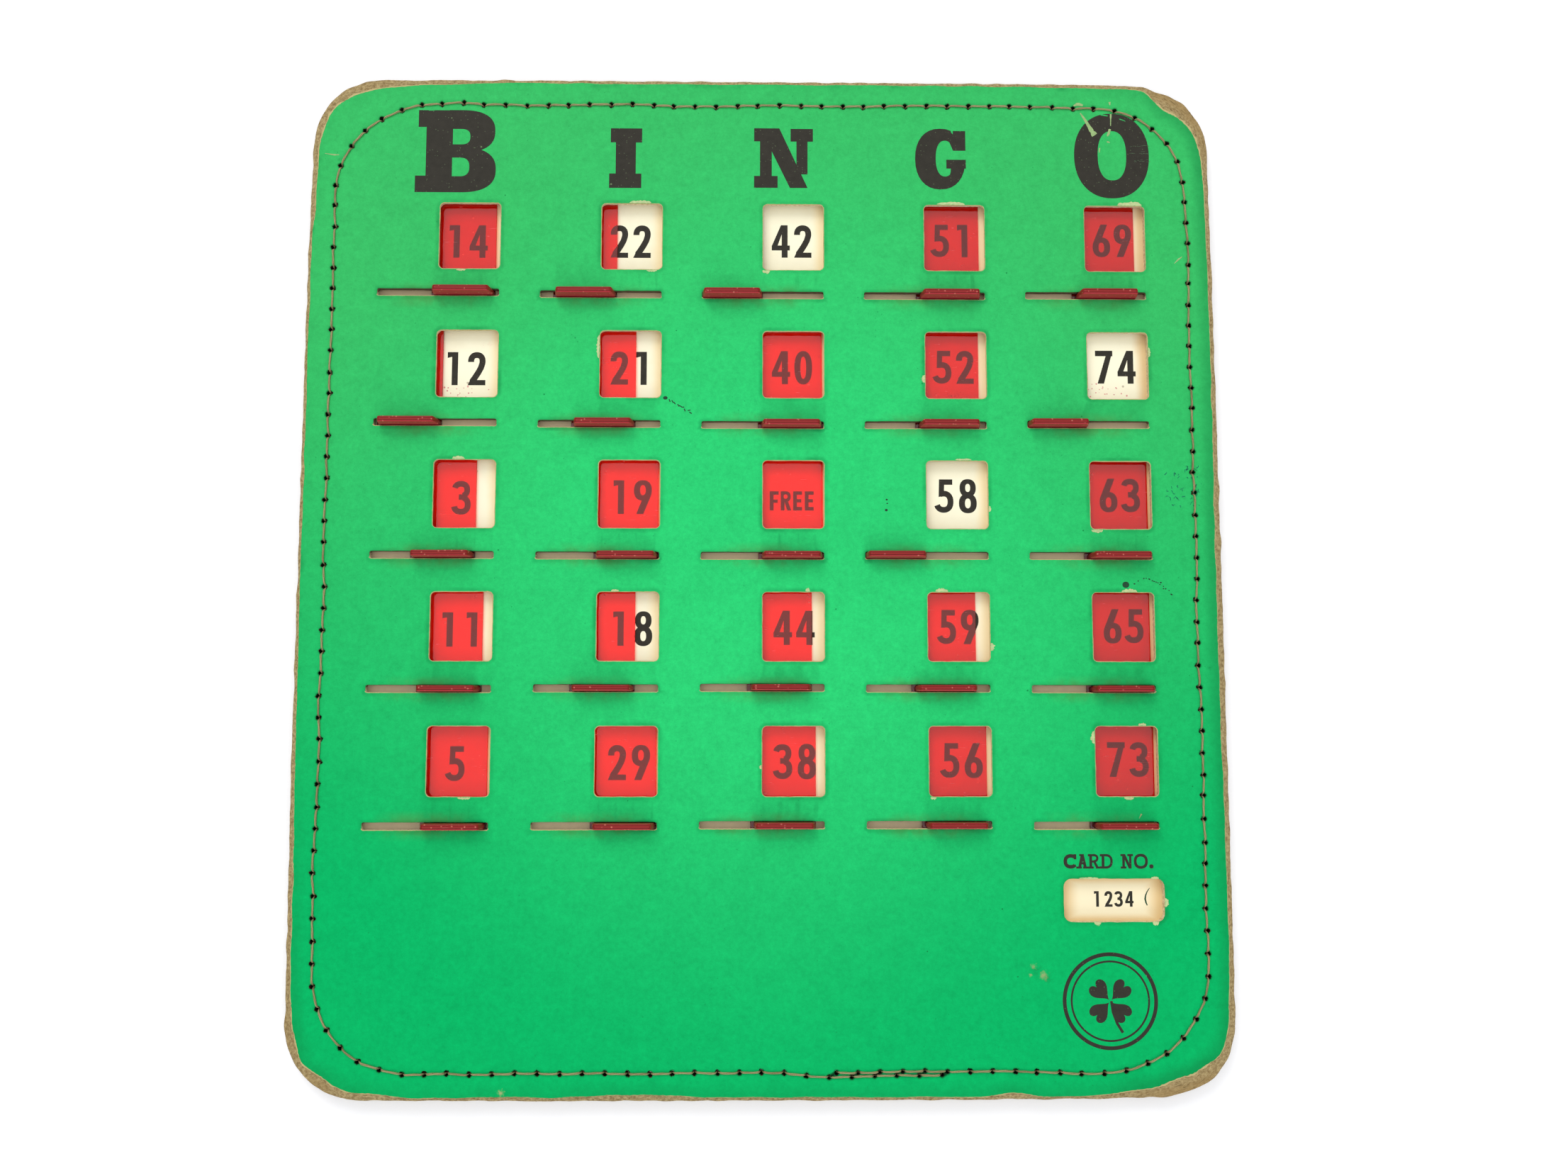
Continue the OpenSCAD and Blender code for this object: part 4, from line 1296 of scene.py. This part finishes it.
def facing_material(context, name, front):
    """Satin printed paper: green with grain, specks, soiled places, painted light and shade, a bare torn rim and bare
    cut edges.
    """
    g = Finish(name)
    rim, cut, pierced = g.kept("rim"), g.kept("cut"), g.kept("pierced")
    green, deep, core = (paint(context, key) for key in ("green", "green_deep", "paper_core"))
    grain = g.use("grain", Scale=900.0, Amount=0.5)
    cloud = g.noise(120.0, 4.0, 0.6)
    g.shade = g.blend(g.ramp(g.noise(22.0, 3.0, 0.5), 0.25, 0.75), tinted(green, 0.96), tinted(green, 1.03))
    # Painted light: lighter in the middle of the card and darker outwards; yellower towards the head, bluer towards
    # the foot
    foot, head = tinted(green, (0.02, 0.72, 0.7)), tinted(green, (1.6, 0.79, 0.72))
    ends = g.blend(g.ramp(g.axis("Y"), -0.07, 0.07), foot, head)
    g.lay(g.ramp(g.distance(g.place), 0.015, 0.11, 0.0, 0.95), ends)
    fine = 1.0 + (grain["Swing"] * 1.1 + g.use("grain", Scale=330.0, Amount=0.42)["Swing"])
    g.lay(1.0, g.add("ShaderNodeCombineColor", {0: fine, 1: fine, 2: fine}), "MULTIPLY")
    g.lay((g.specks(330.0, 0.07, 0.055) | g.specks(800.0, 0.1, 0.1) * 0.5) * 0.75, deep)
    # Soiled along the rim in patches; painted shade where the worn rim rounds away from the light, as its table gives,
    # and a thin painted shadow line at the green's edge
    smudge = g.ramp(rim, 0.1, 1.5, 1.0, 0.0) * g.ramp(cloud, 0.5, 0.68)
    held = g.ramp(rim, 0.2, 3.4, 0.62, 0.0) * g.kept("rim_shade_and_soil")
    g.lay(smudge * 0.45 | (held | g.ramp(rim, 0.0, 0.22, 0.35, 0.0)), deep)
    # Painted shade: darker green round the needle holes
    g.lay(g.ramp(pierced, 0.55, 0.95, 0.6, 0.0), deep)
    g.lay(g.ramp(cut, 0.1, 0.9, 1.0, 0.0) * g.ramp(cloud, 0.35, 0.75, 0.1, 0.55), deep)
    if front:
        # Finger grime and painted shade of the tabs, in soft olive patches along the slots
        g.lay(slot_grime_and_shade(g, millimetres(context), cloud), linear(82, 138, 70))
        for x, y, radius, kind in STAINS:
            stain = g.use("spot", Centre=(x * MM, y * MM, 0.0), Radius=radius * MM)
            g.lay(stain * (0.5 if kind == "green_deep" else 0.65), paint(context, kind))
    # Bare paper where it is torn or cut, and painted black shadow inside the needle holes
    torn = g.use("ragged edge", Scale=1400.0, Distance=rim, Width=0.0, Ragged=0.16)
    bare = torn | g.use("ragged edge", Scale=1500.0, Distance=cut, Width=-0.17, Ragged=0.22)
    fuzz = g.noise(2600.0, 3.0)
    g.lay(bare, g.blend(fuzz, paint(context, "board"), core))
    g.lay(g.ramp(pierced, 0.35, 0.75, 1.0, 0.0), HOLE_SHADOW)
    rough = g.calc("ADD", grain * 0.16 + 0.4, bare * 0.35, clamp=True)
    height = grain * 0.35 + cloud * 0.5 + fuzz * bare * 1.2
    return g.done(height, 0.05 * MM, 0.6, Roughness=rough, Specular_IOR_Level=0.03)


def board_material(context, name):
    """Chipboard: long fibres along the edge, brown cracks where the corners peel, pale cut walls that are painted
    light with painted shade on the upper walls of the slots, and painted black shadow in the needle holes.
    """
    g = Finish(name)
    rim, peel = g.kept("rim"), g.kept("peel")
    light, dark = paint(context, "board"), paint(context, "board_dark")
    track = g.add("ShaderNodeUVMap", uv_map="track")
    fibre = g.use("fibres", Track=track)
    g.shade = g.blend(g.ramp(fibre, 0.35, 0.62), dark, light)
    g.lay(g.ramp(fibre, 0.56, 0.75), tinted(light, 1.35))
    g.lay(g.ramp(rim, 0.4, 2.2, 1.0, 0.2) * peel * 0.7, tinted(light, (0.72, 0.62, 0.5)))
    crack = g.noise(3.2, 3.0, 0.55, 0.6, at=g.stretched(track, (1.6, 22.0, 1.0)))
    g.lay(g.ramp(crack, 0.58, 0.66) * (peel * 0.75 + 0.22), tinted(dark, 0.6))
    fluff = g.noise(900.0, 4.0, 0.6)
    g.lay(g.ramp(fluff, 0.3, 0.5, 0.35, 0.0), dark)
    # Walls of the cuts: a pale chipboard that is painted light in the deep cuts, and painted shade on the upper wall
    # of each slot
    walls = g.blend(g.ramp(fibre, 0.35, 0.65), light, paint(context, "cut_board"))
    walls = g.blend(g.ramp(g.kept("slot"), 0.3, 0.95, 0.0, 0.92), walls, linear(72, 56, 42))
    g.lay(g.ramp(rim, 3.9, 4.0), walls)
    # Painted black shadow inside the needle holes
    g.lay(g.ramp(g.kept("pierced"), 0.6, 0.95, 1.0, 0.0), BOARD_HOLE_SHADOW)
    return g.done(fibre + fluff * 0.5, 0.22 * MM, 0.8, Roughness=0.93, Specular_IOR_Level=0.12)


def sheet_material(context, name):
    """Aged cream paper: warm clouds, foxing, pink smudges from the shutters, dirt under the slots, and painted light
    and shade in the windows and slots.
    """
    g, m = Finish(name), millimetres(context)
    cloud = g.noise(90.0, 4.0, 0.55)
    g.shade = g.blend(g.ramp(cloud, 0.45, 0.75, 0.0, 0.14), paint(context, "cream"), paint(context, "cream_dark"))
    g.lay(g.ramp(g.noise(160.0, 5.0, 0.7), 0.64, 0.76, 0.0, 0.28), (0.75, 0.25, 0.22))
    g.lay(g.specks(420.0, 0.06, 0.1) * 0.5, (0.2, 0.12, 0.05))
    # Painted shade and painted reflection of the window's wall, along the right of each window; tan round the border
    # of the card number
    x, y, tan = g.axis("X"), g.axis("Y"), linear(232, 196, 134)
    by_label = g.ramp(y, -0.0575, -0.054, 1.0, 0.0)
    right = g.wrap(x - m.grid_x * MM, m.column_pitch) + cloud * 0.002
    wall_shade_tint = g.blend(g.ramp(x, 0.045, 0.072), linear(255, 234, 182), tan)
    g.lay(g.ramp(right, 0.0046, 0.0072) * (1.0 - by_label) * 0.75, wall_shade_tint)
    g.lay(by_label * 0.8, linear(255, 242, 206))
    beside, above = g.ramp(abs(x - m.label_x * MM), 0.0062, 0.0098), g.ramp(abs(y - m.label_y * MM), 0.0026, 0.0044)
    g.lay((beside | above) * by_label * 0.75, tan)
    # A clean pale band along each slot, painted light where the slot lies deep in shade; painted shade on the upper
    # side of each slot, and dirt in the slot
    from_slot = g.wrap(y - (m.grid_y + m.slot_y) * MM, m.row_pitch)
    off = abs(from_slot)
    slot_light_band = g.ramp(off, 0.0014, 0.003, 1.0, 0.0)
    g.lay(slot_light_band, linear(255, 238, 200))
    g.lay(slot_light_band * g.ramp(from_slot, 0.0, 0.0013, 0.0, 0.2), linear(158, 128, 100))
    dirt = g.ramp(off, 0.0011, 0.0017, 1.0, 0.0) * g.ramp(g.noise(700.0, 4.0, 0.6), 0.3, 0.7, 0.1, 0.6)
    g.lay(dirt * 0.4, linear(222, 204, 176))
    return g.done(g.noise(2200.0, 3.0), 0.03 * MM, 0.5, Roughness=0.8, Specular_IOR_Level=0.2)


def ink_material(context, name, gaps):
    """Black ink, thin in places so that the paper's colour shows in tiny specks."""
    g, ink = Finish(name), paint(context, "ink")
    tone = g.noise(700.0, 4.0, 0.6)
    g.shade = g.blend(tone, ink, tinted(ink, 1.9))
    g.lay(g.specks(1900.0, 0.26, 0.2) * 0.4, gaps)
    g.lay(g.specks(620.0, 0.12, 0.12) * 0.7, gaps)
    return g.done(tone, 0.02 * MM, 0.4, Roughness=0.6, Specular_IOR_Level=0.12)


def plain_material(name, screen, rough=0.8, spread=0.2):
    """A matt film or fluff of one colour, mottled."""
    g, base = Finish(name), linear(*screen)
    tone = g.noise(1300.0, 4.0, 0.6)
    g.shade = g.blend(tone, tinted(base, 1 - spread), tinted(base, 1 + spread))
    return g.done(tone, 0.04 * MM, 0.6, Roughness=rough, Specular_IOR_Level=0.2)


def thread_material(context, name):
    """Cotton thread: tan plies with painted olive shade in the grooves between them, darker patches and a fluffy
    grain.
    """
    g, dark = Finish(name), paint(context, "thread_dark")
    fluff = g.noise(4200.0, 3.0, 0.6)
    # Painted shade in the grooves between the plies
    ply = g.kept("ply") * 0.8 + (fluff - 0.5) * 0.8
    g.shade = g.blend(g.ramp(ply, -0.3, 0.6), dark, paint(context, "thread"))
    g.lay(g.ramp(g.noise(160.0, 2.0), 0.45, 0.75, 0.0, 0.5), dark)
    return g.done(fluff, 0.06 * MM, 0.7, Roughness=0.9, Specular_IOR_Level=0.15)


def pane_material(context, name):
    """Clear red plastic that lamps shine through, with dust, specks and fine scratches."""
    g, m, red = Finish(name), millimetres(context), paint(context, "pane")
    haze = g.noise(130.0, 4.0, 0.6)
    marks = g.specks(520.0, 0.1, 0.12) * 0.8 | g.use("scratches") * 0.45
    g.shade = g.blend(haze, tinted(red, (0.93, 0.8, 0.8)), red)
    # Painted shade: darker and deeper red away from the middle of the card; darker at the foot, where it shows in the
    # slots, painted shade with grime
    away = g.distance(g.vector("SUBTRACT", g.place, (-0.02, 0.0, 0.0)))
    g.lay(g.ramp(away, 0.025, 0.115, 0.0, 0.85), tinted(red, (0.66, 0.25, 0.5)))
    foot = abs(g.wrap(g.axis("Y") - (m.grid_y + m.slot_y) * MM, m.row_pitch))
    g.lay(g.ramp(foot, 0.002, 0.0032, 0.75, 0.0), linear(150, 20, 24))
    g.lay(marks, (0.86, 0.5, 0.42))
    rough = g.calc("ADD", haze * 0.12 + 0.04, marks * 0.5, clamp=True)
    g.done(haze + marks * 0.6, 0.03 * MM, 0.25, Roughness=rough, Transmission_Weight=0.95, IOR=1.49,
           Specular_IOR_Level=0.35)
    return g.surface(g.add("ShaderNodeLightPath", None, "Is Shadow Ray"),
                     g.add("ShaderNodeBsdfTransparent", {"Color": (0.86, 0.16, 0.14, 1.0)}))


def tab_material(context, name):
    """The same plastic where it is thick: dark crimson, glossy, dusty and scuffed on top, with a painted highlight on
    its front side, painted shade in the groove of its top and painted shade along its foot.
    """
    g, red = Finish(name), paint(context, "tab")
    flow = g.noise(1.0, 3.0, at=g.stretched(g.place, (120.0, 900.0, 500.0)))
    marks = g.specks(640.0, 0.14, 0.14) * 0.5 | g.use("scratches") * 0.35
    g.shade = g.blend(flow, tinted(red, (0.8, 0.7, 0.7)), red)
    g.lay(marks, (0.45, 0.13, 0.12))
    # Painted highlight: the front side of the tab lighter and redder
    g.lay(g.kept("front"), linear(188, 44, 60))
    g.lay(g.specks(1500.0, 0.3, 0.26) * 0.5, linear(224, 136, 116))
    # Painted shade in the groove along the top
    g.lay(g.kept("groove") * 0.85, linear(70, 8, 14))
    # Painted shade: darker low down, where the tab meets the card and goes into its slot
    g.lay(g.ramp(g.axis("Z"), 0.0048, 0.0054, 0.5, 0.0), tinted(red, 0.3))
    rough = g.calc("ADD", flow * 0.2 + 0.3, marks * 0.4, clamp=True)
    return g.done(flow + marks, 0.04 * MM, 0.4, Roughness=rough, IOR=1.49, Specular_IOR_Level=0.25)


# Wear marks on top of the paper -----------------------------------------------------------

# Fluff at the windows: column, row, side (0 bottom, 1 right, 2 top, 3 left), place along the side as a share,
# length and width in millimetres
NIBS = [
    (1, 0, 2, 0.63, 4.6, 0.5), (3, 0, 2, 0.45, 6.0, 0.55), (4, 0, 2, 0.75, 5.2, 0.9), (2, 0, 0, 0.07, 1.6, 0.7),
    (0, 0, 0, 0.37, 2.0, 0.3), (1, 1, 3, 0.75, 5.0, 0.55), (3, 1, 3, 0.3, 1.6, 0.7), (0, 2, 2, 0.4, 2.6, 0.6),
    (4, 2, 0, 0.12, 2.4, 0.6), (2, 3, 2, 0.72, 0.9, 0.8), (3, 3, 2, 0.24, 2.6, 0.75), (4, 3, 2, 0.6, 3.2, 0.6),
    (3, 3, 1, 0.22, 1.6, 0.8), (0, 4, 0, 0.6, 2.6, 0.4), (4, 4, 3, 0.83, 2.6, 0.8), (4, 4, 0, 0.52, 2.0, 0.5),
    (4, 4, 2, 0.75, 1.6, 0.5), (3, 4, 0, 0.08, 1.2, 0.4), (1, 3, 2, 0.3, 1.6, 0.35), (3, 2, 1, 0.3, 1.2, 0.4),
    (2, 4, 3, 0.42, 0.8, 0.4), (1, 0, 0, 0.82, 2.2, 0.3), (3, 2, 2, 0.6, 3.4, 0.3), (4, 1, 1, 0.7, 2.0, 0.35)]
# The same at the card number window, from the side on
LABEL_NIBS = [(0, 0.33, 1.4, 0.7), (0, 0.9, 1.3, 0.7), (1, 0.45, 1.8, 0.8), (2, 0.9, 1.6, 0.4), (2, 0.25, 4.0, 0.25)]
# Ink blots: place and radius
BLOTS = [(75.3, -2.3, 0.72), (77.1, -2.1, 0.2), (77.9, -1.5, 0.14), (-20.2, 36.75, 0.48), (25.9, 15.4, 0.22),
         (26.0, 14.6, 0.16), (25.8, 13.2, 0.3)]
# A stroke beside the card number: places and widths
STROKE = [(79.3, -64.3), (78.8, -65.0), (78.45, -65.8), (78.35, -66.5), (78.5, -67.2), (78.75, -67.8)]
STROKE_WIDTHS = (0.1, 0.2, 0.28, 0.34, 0.3, 0.2)
# Shreds of tape: path and widths
TAPE = [
    ([(67.9, 99.1), (68.9, 97.6), (70.3, 95.1), (70.9, 94.2)], [0.25, 0.5, 0.95, 1.2]),
    ([(74.25, 101.6), (74.3, 100.9)], [0.5, 0.2]),
    ([(74.45, 98.9), (74.4, 97.5), (74.35, 96.3)], [0.35, 0.22, 0.14]),
    ([(74.2, 95.6), (73.9, 94.6), (73.6, 94.0)], [0.45, 0.6, 0.25]),
    ([(71.9, 91.4), (71.8, 90.4)], [0.35, 0.2]),
    ([(73.5, 92.8), (74.1, 92.6)], [0.35, 0.2]),
    ([(66.5, 100.7), (67.4, 101.1), (68.5, 100.8)], [0.3, 0.7, 0.35]),
    ([(-92.6, 89.2), (-90.7, 88.9), (-89.6, 88.9)], [0.1, 0.32, 0.12]),
    ([(76.9, -50.1), (77.4, -49.2)], [0.1, 0.3]),
    ([(87.2, 66.1), (88.1, 67.0), (88.9, 67.6)], [0.12, 0.3, 0.1])]
# Red dust: its window, middle from the window's middle, spread, and number of grains
DUST = [(5, (-2.6, -5.4), (2.0, 0.8), 18), (9, (-3.0, -4.9), (2.2, 1.1), 26), (8, (0.5, -6.0), (1.5, 0.4), 26)]
INK_FILM = 0.01


def nib(middle, width, height, side, share, long, deep, draw):
    """A patch of torn paper at a cut's edge: a strip along the side whose outer border is ragged."""
    n = 15
    t = np.linspace(-0.5, 0.5, n)
    swell = np.sqrt(np.maximum(0, 1 - (2 * t) ** 2)) * deep * (1 + 0.35 * draw.uniform(-1, 1, n))
    inner = -0.12 * (1 + draw.uniform(-0.6, 0.6, n))
    across = np.array([[0, -1], [1, 0], [0, 1], [-1, 0]][side], float)
    way = np.array([-across[1], across[0]])
    span, reach = (width, height / 2) if side % 2 == 0 else (height, width / 2)
    base = np.array(middle) + across * reach + way * span * ((share - 0.5) if side in (0, 1) else (0.5 - share))
    outer = base + way * (t * long)[:, None] + across * swell[:, None]
    back = base + way * (t * long * 0.95)[:, None] + across * inner[:, None]
    return np.concatenate([back, outer[::-1]])


def aim(turn, reach):
    """A step in a direction."""
    return np.array([math.cos(turn), math.sin(turn)]) * reach


def build_marks(context):
    """Torn fluff at the windows, ink specks and strokes, and pale scuffs, as thin films on the facing."""
    m = millimetres(context)
    face, sheet = level("front_facing")[1], level("number_sheet")[1]
    draw = np.random.default_rng(91)
    (middles, window), _, (label, label_size) = openings(m)
    shell = Shell()
    places = [(middles[row * ROWS + column], window, nibs) for column, row, *nibs in NIBS]
    for middle, size, (side, share, long, deep) in [*places, *((label[0], label_size, nibs) for nibs in LABEL_NIBS)]:
        shell.slab([nib(middle, *size[:2], side, share, long, deep * 0.8, draw)], face + 0.004, 0.045)
    fluff = plain_material("torn_fluff", (188, 204, 148), 0.95, 0.3)
    finish_piece(shell.build("torn_fluff"), "card", [fluff])

    shell = Shell()
    for x, y, r in BLOTS:
        shell.slab([oval(x, y, r, r * draw.uniform(0.7, 1.1), power=2.1, count=17)], face, INK_FILM)
    for t in np.arange(16) / 15:
        at = np.array([79.3 + 5.6 * t, -1.0 - 3.6 * t * t]) + draw.normal(0, 0.18, 2)
        shell.slab([oval(*at, 0.12 + 0.1 * draw.random(), 0.1 + 0.06 * draw.random(), count=9)], face, INK_FILM)
    for n in range(9):
        at = np.array([-19.2 + 0.55 * n, 36.2 - 0.33 * n]) + draw.normal(0, 0.15, 2)
        way = aim(draw.uniform(-1.2, 0.2), 0.3)
        shell.slab([band([at - way, at, at + way], 0.22)], face, INK_FILM)
    ink = plain_material("spilt_ink", (24, 66, 42), 0.6, 0.5)
    finish_piece(shell.build("ink_specks"), "card", [ink])
    shell = Shell()
    shell.slab([band(STROKE, STROKE_WIDTHS)], sheet, INK_FILM)
    finish_piece(shell.build("ink_stroke"), "card", [ink])

    shell = Shell()
    for n in range(46):
        at = np.array([83.8 + 9.0 * draw.random(), 13.6 + 9.2 * draw.random()])
        if at[0] > 91.5:
            at[0] -= 3
        way = aim(draw.uniform(0, TAU), draw.uniform(0.12, 0.5))
        path = [at - way, at + draw.normal(0, 0.1, 2), at + way]
        shell.slab([band(path, draw.uniform(0.08, 0.22))], face, INK_FILM)
    teal = plain_material("pen_scribble", (18, 112, 84), 0.7, 0.3)
    finish_piece(shell.build("pen_scribble"), "card", [teal])

    shell = Shell()
    for path, width in TAPE:
        fine, at = np.linspace(0, len(path) - 1, 12), np.arange(len(path))
        wide = np.interp(fine, at, width) * (1 + 0.25 * draw.uniform(-1, 1, 12))
        shell.slab([band(np.stack([np.interp(fine, at, c) for c in np.array(path).T], 1), wide)], face + 0.016, 0.012)
    for n in range(26):
        at = np.array([78.4 + 4.0 * draw.random(), 88.6 + 5.0 * (n % 3) / 3 + draw.normal(0, 0.15)])
        reach = draw.uniform(0.15, 0.5)
        shell.slab([band([at - [reach, 0], at, at + [reach, 0.05]], 0.05)], face + 0.016, 0.01, skin=1)
    residue = plain_material("tape_residue", (152, 182, 122), 0.75, 0.3)
    rubbed = plain_material("rubbed_ink", (86, 108, 82), 0.8, 0.4)
    finish_piece(shell.build("tape_residue"), "card", [residue, rubbed])

    # Red plastic dust on the sheet, under the panes of two open windows
    shell = Shell()
    for place, centre, spread, grains in DUST:
        for n in range(grains):
            off = draw.normal(0, 1, 2) * spread
            at = middles[place] + centre + off
            if abs(at[0] - middles[place][0]) < 6.2 and at[1] > middles[place][1] - 6.9:
                r = draw.uniform(0.05, 0.2)
                shell.slab([oval(*at, r, r * draw.uniform(0.5, 1.2), count=9)], sheet, 0.008)
    dust = plain_material("red_dust", (224, 164, 156), 0.9, 0.3)
    finish_piece(shell.build("red_dust"), "card", [dust])


# Operators ------------------------------------------------------------------------------


class CARD_OT_boards(Operator):
    """Build the three chipboards with their worn rims and cut walls"""
    bl_idname = "card.boards"
    bl_label = "Boards"

    def execute(self, context):
        m = millimetres(context)
        board = board_material(context, "chipboard")
        cuts = cut_rings(openings(m), (0.6, 5, 5), (0.9, 4, 5), (0.6, 5, 5))
        channels = (windows(m) + [m.channel_x, m.channel_y], (m.channel_w, m.channel_h, m.pane_r))
        channels = cut_rings((channels, openings(m)[2]), (1.5, 5, 2), (0.8, 5, 3))
        build_board(context, "worn_front_board", "front_board", board, 1, cuts, 101)
        build_board(context, "worn_channel_board", "channel_board", board, 0, channels, 202)
        build_board(context, "worn_back_board", "back_board", board, -1, [], 303)
        return {"FINISHED"}


class CARD_OT_facings(Operator):
    """Build the torn facing papers of the front and the back"""
    bl_idname = "card.facings"
    bl_label = "Facing papers"

    def execute(self, context):
        green = facing_material(context, "green_facing", True)
        build_facing(context, "torn_front_facing", "front_facing", green, True, FRONT_SEED)
        green = facing_material(context, "green_backing", False)
        build_facing(context, "torn_back_facing", "back_facing", green, False, BACK_SEED)
        return {"FINISHED"}


class CARD_OT_sheet(Operator):
    """Give the number sheet its aged paper"""
    bl_idname = "card.sheet"
    bl_label = "Number sheet"

    def execute(self, context):
        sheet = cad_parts["number_sheet"]
        sheet.data.materials.clear()
        sheet.data.materials.append(sheet_material(context, "aged_sheet"))
        return {"FINISHED"}


class CARD_OT_prints(Operator):
    """Print the numbers, the column letters, the caption and the roundel"""
    bl_idname = "card.prints"
    bl_label = "Print"

    def execute(self, context):
        print_numbers(context, ink_material(context, "number_ink", linear(96, 88, 74)))
        print_headings(ink_material(context, "heading_ink", linear(112, 132, 96)))
        return {"FINISHED"}


class CARD_OT_marks(Operator):
    """Lay the torn fluff, ink specks and scuffs on the facing"""
    bl_idname = "card.marks"
    bl_label = "Wear marks"

    def execute(self, context):
        build_marks(context)
        return {"FINISHED"}


class CARD_OT_threads(Operator):
    """Sew the needle thread and the bobbin thread"""
    bl_idname = "card.threads"
    bl_label = "Seam"

    def execute(self, context):
        r = millimetres(context).thread_r
        cotton = thread_material(context, "cotton_thread")
        face = level("front_facing")[1]
        build_thread(context, "needle_cotton", "needle_thread", face + r - 0.05, -1.5, cotton, 51, 0.3)
        build_thread(context, "bobbin_cotton", "bobbin_thread", r + 0.03, 1.2, cotton, 52, 1.9)
        return {"FINISHED"}


class CARD_OT_shutters(Operator):
    """Mould the twenty-five red shutters"""
    bl_idname = "card.shutters"
    bl_label = "Shutters"

    def execute(self, context):
        build_shutters(context, pane_material(context, "clear_red_pane"), tab_material(context, "crimson_tab"))
        return {"FINISHED"}


# The camera: a sensor's width, the picture's width and focal length in its pixels, place in millimetres and turn
# in degrees
SENSOR, PICTURE, FOCAL = 36, 2212, 2000
CAMERA_AT = (0.54, -32.03, 295.49)
CAMERA_TURN = (-5.685, 0.797, -0.016)
WHITE = (1, 1, 1, 1)
# Place and size in metres, power in watts, and colour
LAMPS = {"key_lamp": ((-0.35, 1.0, 0.95), 0.7, 7.0, (1, 0.985, 0.96)),
         "fill_lamp": ((0.2, -1.1, 0.75), 0.7, 4.0, (0.97, 0.985, 1)),
         "top_lamp": ((0.0, 0.1, 1.3), 2.2, 7.5, (1, 1, 1))}


def floor_material():
    """White paper near the card that turns to plain white further out, so that a low view has no grey horizon. It
    is open from below, and to the light that reaches the card's back."""
    g = Finish("white_floor")
    path = g.add("ShaderNodeLightPath")
    seen, far = path["Is Camera Ray"], g.ramp(g.distance(g.place), 0.22, 0.55)
    g.shade = g.blend(far, (0.86, 0.87, 0.9), (0.0, 0.0, 0.0))
    g.done(Roughness=0.9, Specular_IOR_Level=0.1, Emission_Color=WHITE,
           Emission_Strength=seen * g.calc("MULTIPLY_ADD", far, 0.8, 0.2))
    under = (path["Ray Length"] < 0.0006) * (1.0 - seen)
    back = g.add("ShaderNodeNewGeometry", None, "Backfacing")
    return g.surface(back | under, g.add("ShaderNodeBsdfTransparent"))


def placed(context, name, data, turn):
    """An object linked to the scene, with its place and turn."""
    made = bpy.data.objects.new(name, data)
    context.scene.collection.objects.link(made)
    made.matrix_world = turn
    return made


class CARD_OT_stage(Operator):
    """Set the pale floor, the soft lamps, the white surroundings and the camera"""
    bl_idname = "card.stage"
    bl_label = "Stage"

    def execute(self, context):
        scene = context.scene
        mesh = bpy.data.meshes.new("floor")
        half, drop = 3.0, -0.04 * MM
        corners = [(x * half, y * half, drop) for x, y in ((-1, -1), (1, -1), (1, 1), (-1, 1))]
        mesh.from_pydata(corners, [], [(0, 1, 2, 3)])
        mesh.materials.append(floor_material())
        placed(context, "floor", mesh, Matrix())

        scene.world = bpy.data.worlds.new("white_room")
        scene.world.use_nodes = True
        g = Graph(scene.world.node_tree)
        path = g.add("ShaderNodeLightPath")
        seen = path["Is Camera Ray"] | path["Is Glossy Ray"] | path["Is Transmission Ray"]
        strength = g.add("ShaderNodeMapRange", {"Value": seen, "To Min": 0.52, "To Max": 1.0})
        g.put(g.tree.nodes["Background"], {"Color": WHITE, "Strength": strength})

        for name, (at, size, power, tint) in LAMPS.items():
            lamp = bpy.data.lights.new(name, "AREA")
            lamp.energy, lamp.size, lamp.color = power, size, tint
            move = Matrix.Translation(at)
            placed(context, name, lamp, move @ move.to_translation().to_track_quat("Z", "Y").to_matrix().to_4x4())

        camera = bpy.data.cameras.new("camera")
        camera.lens, camera.sensor_width, camera.clip_start = SENSOR * FOCAL / PICTURE, SENSOR, 0.01
        x, y, z = (Matrix.Rotation(math.radians(a), 3, axis) for a, axis in zip(CAMERA_TURN, "XYZ"))
        move = Matrix.Translation([c * MM for c in CAMERA_AT])
        scene.camera = placed(context, "camera", camera, move @ (x @ y @ z).transposed().to_4x4())
        scene.view_settings.view_transform = "Standard"
        return {"FINISHED"}


STEPS = (CARD_OT_stage, CARD_OT_boards, CARD_OT_facings, CARD_OT_sheet, CARD_OT_prints, CARD_OT_marks,
         CARD_OT_threads, CARD_OT_shutters)


class CARD_PT_panel(Panel):
    """Sizes, colours and steps of the card"""
    bl_idname = "CARD_PT_panel"
    bl_label = "Bingo card"
    bl_space_type = "VIEW_3D"
    bl_region_type = "UI"
    bl_category = "Card"

    def draw(self, context):
        for group in (context.scene.card_sizes, context.scene.card_colours):
            for name in type(group).__annotations__:
                self.layout.prop(group, name)
        for step in STEPS:
            self.layout.operator(step.bl_idname)


CLASSES = (CardSizes, CardColours, *STEPS, CARD_PT_panel)


def register():
    """Adds the card's settings, steps and panel to Blender."""
    for made in CLASSES:
        bpy.utils.register_class(made)
    bpy.types.Scene.card_sizes = PointerProperty(type=CardSizes)
    bpy.types.Scene.card_colours = PointerProperty(type=CardColours)


def unregister():
    """Takes them away again."""
    del bpy.types.Scene.card_colours
    del bpy.types.Scene.card_sizes
    for made in reversed(CLASSES):
        bpy.utils.unregister_class(made)


def main():
    """Builds the whole card."""
    register()
    make_groups()
    for step in STEPS:
        kind, name = step.bl_idname.split(".")
        getattr(getattr(bpy.ops, kind), name)()


if __name__ == "__main__":
    main()
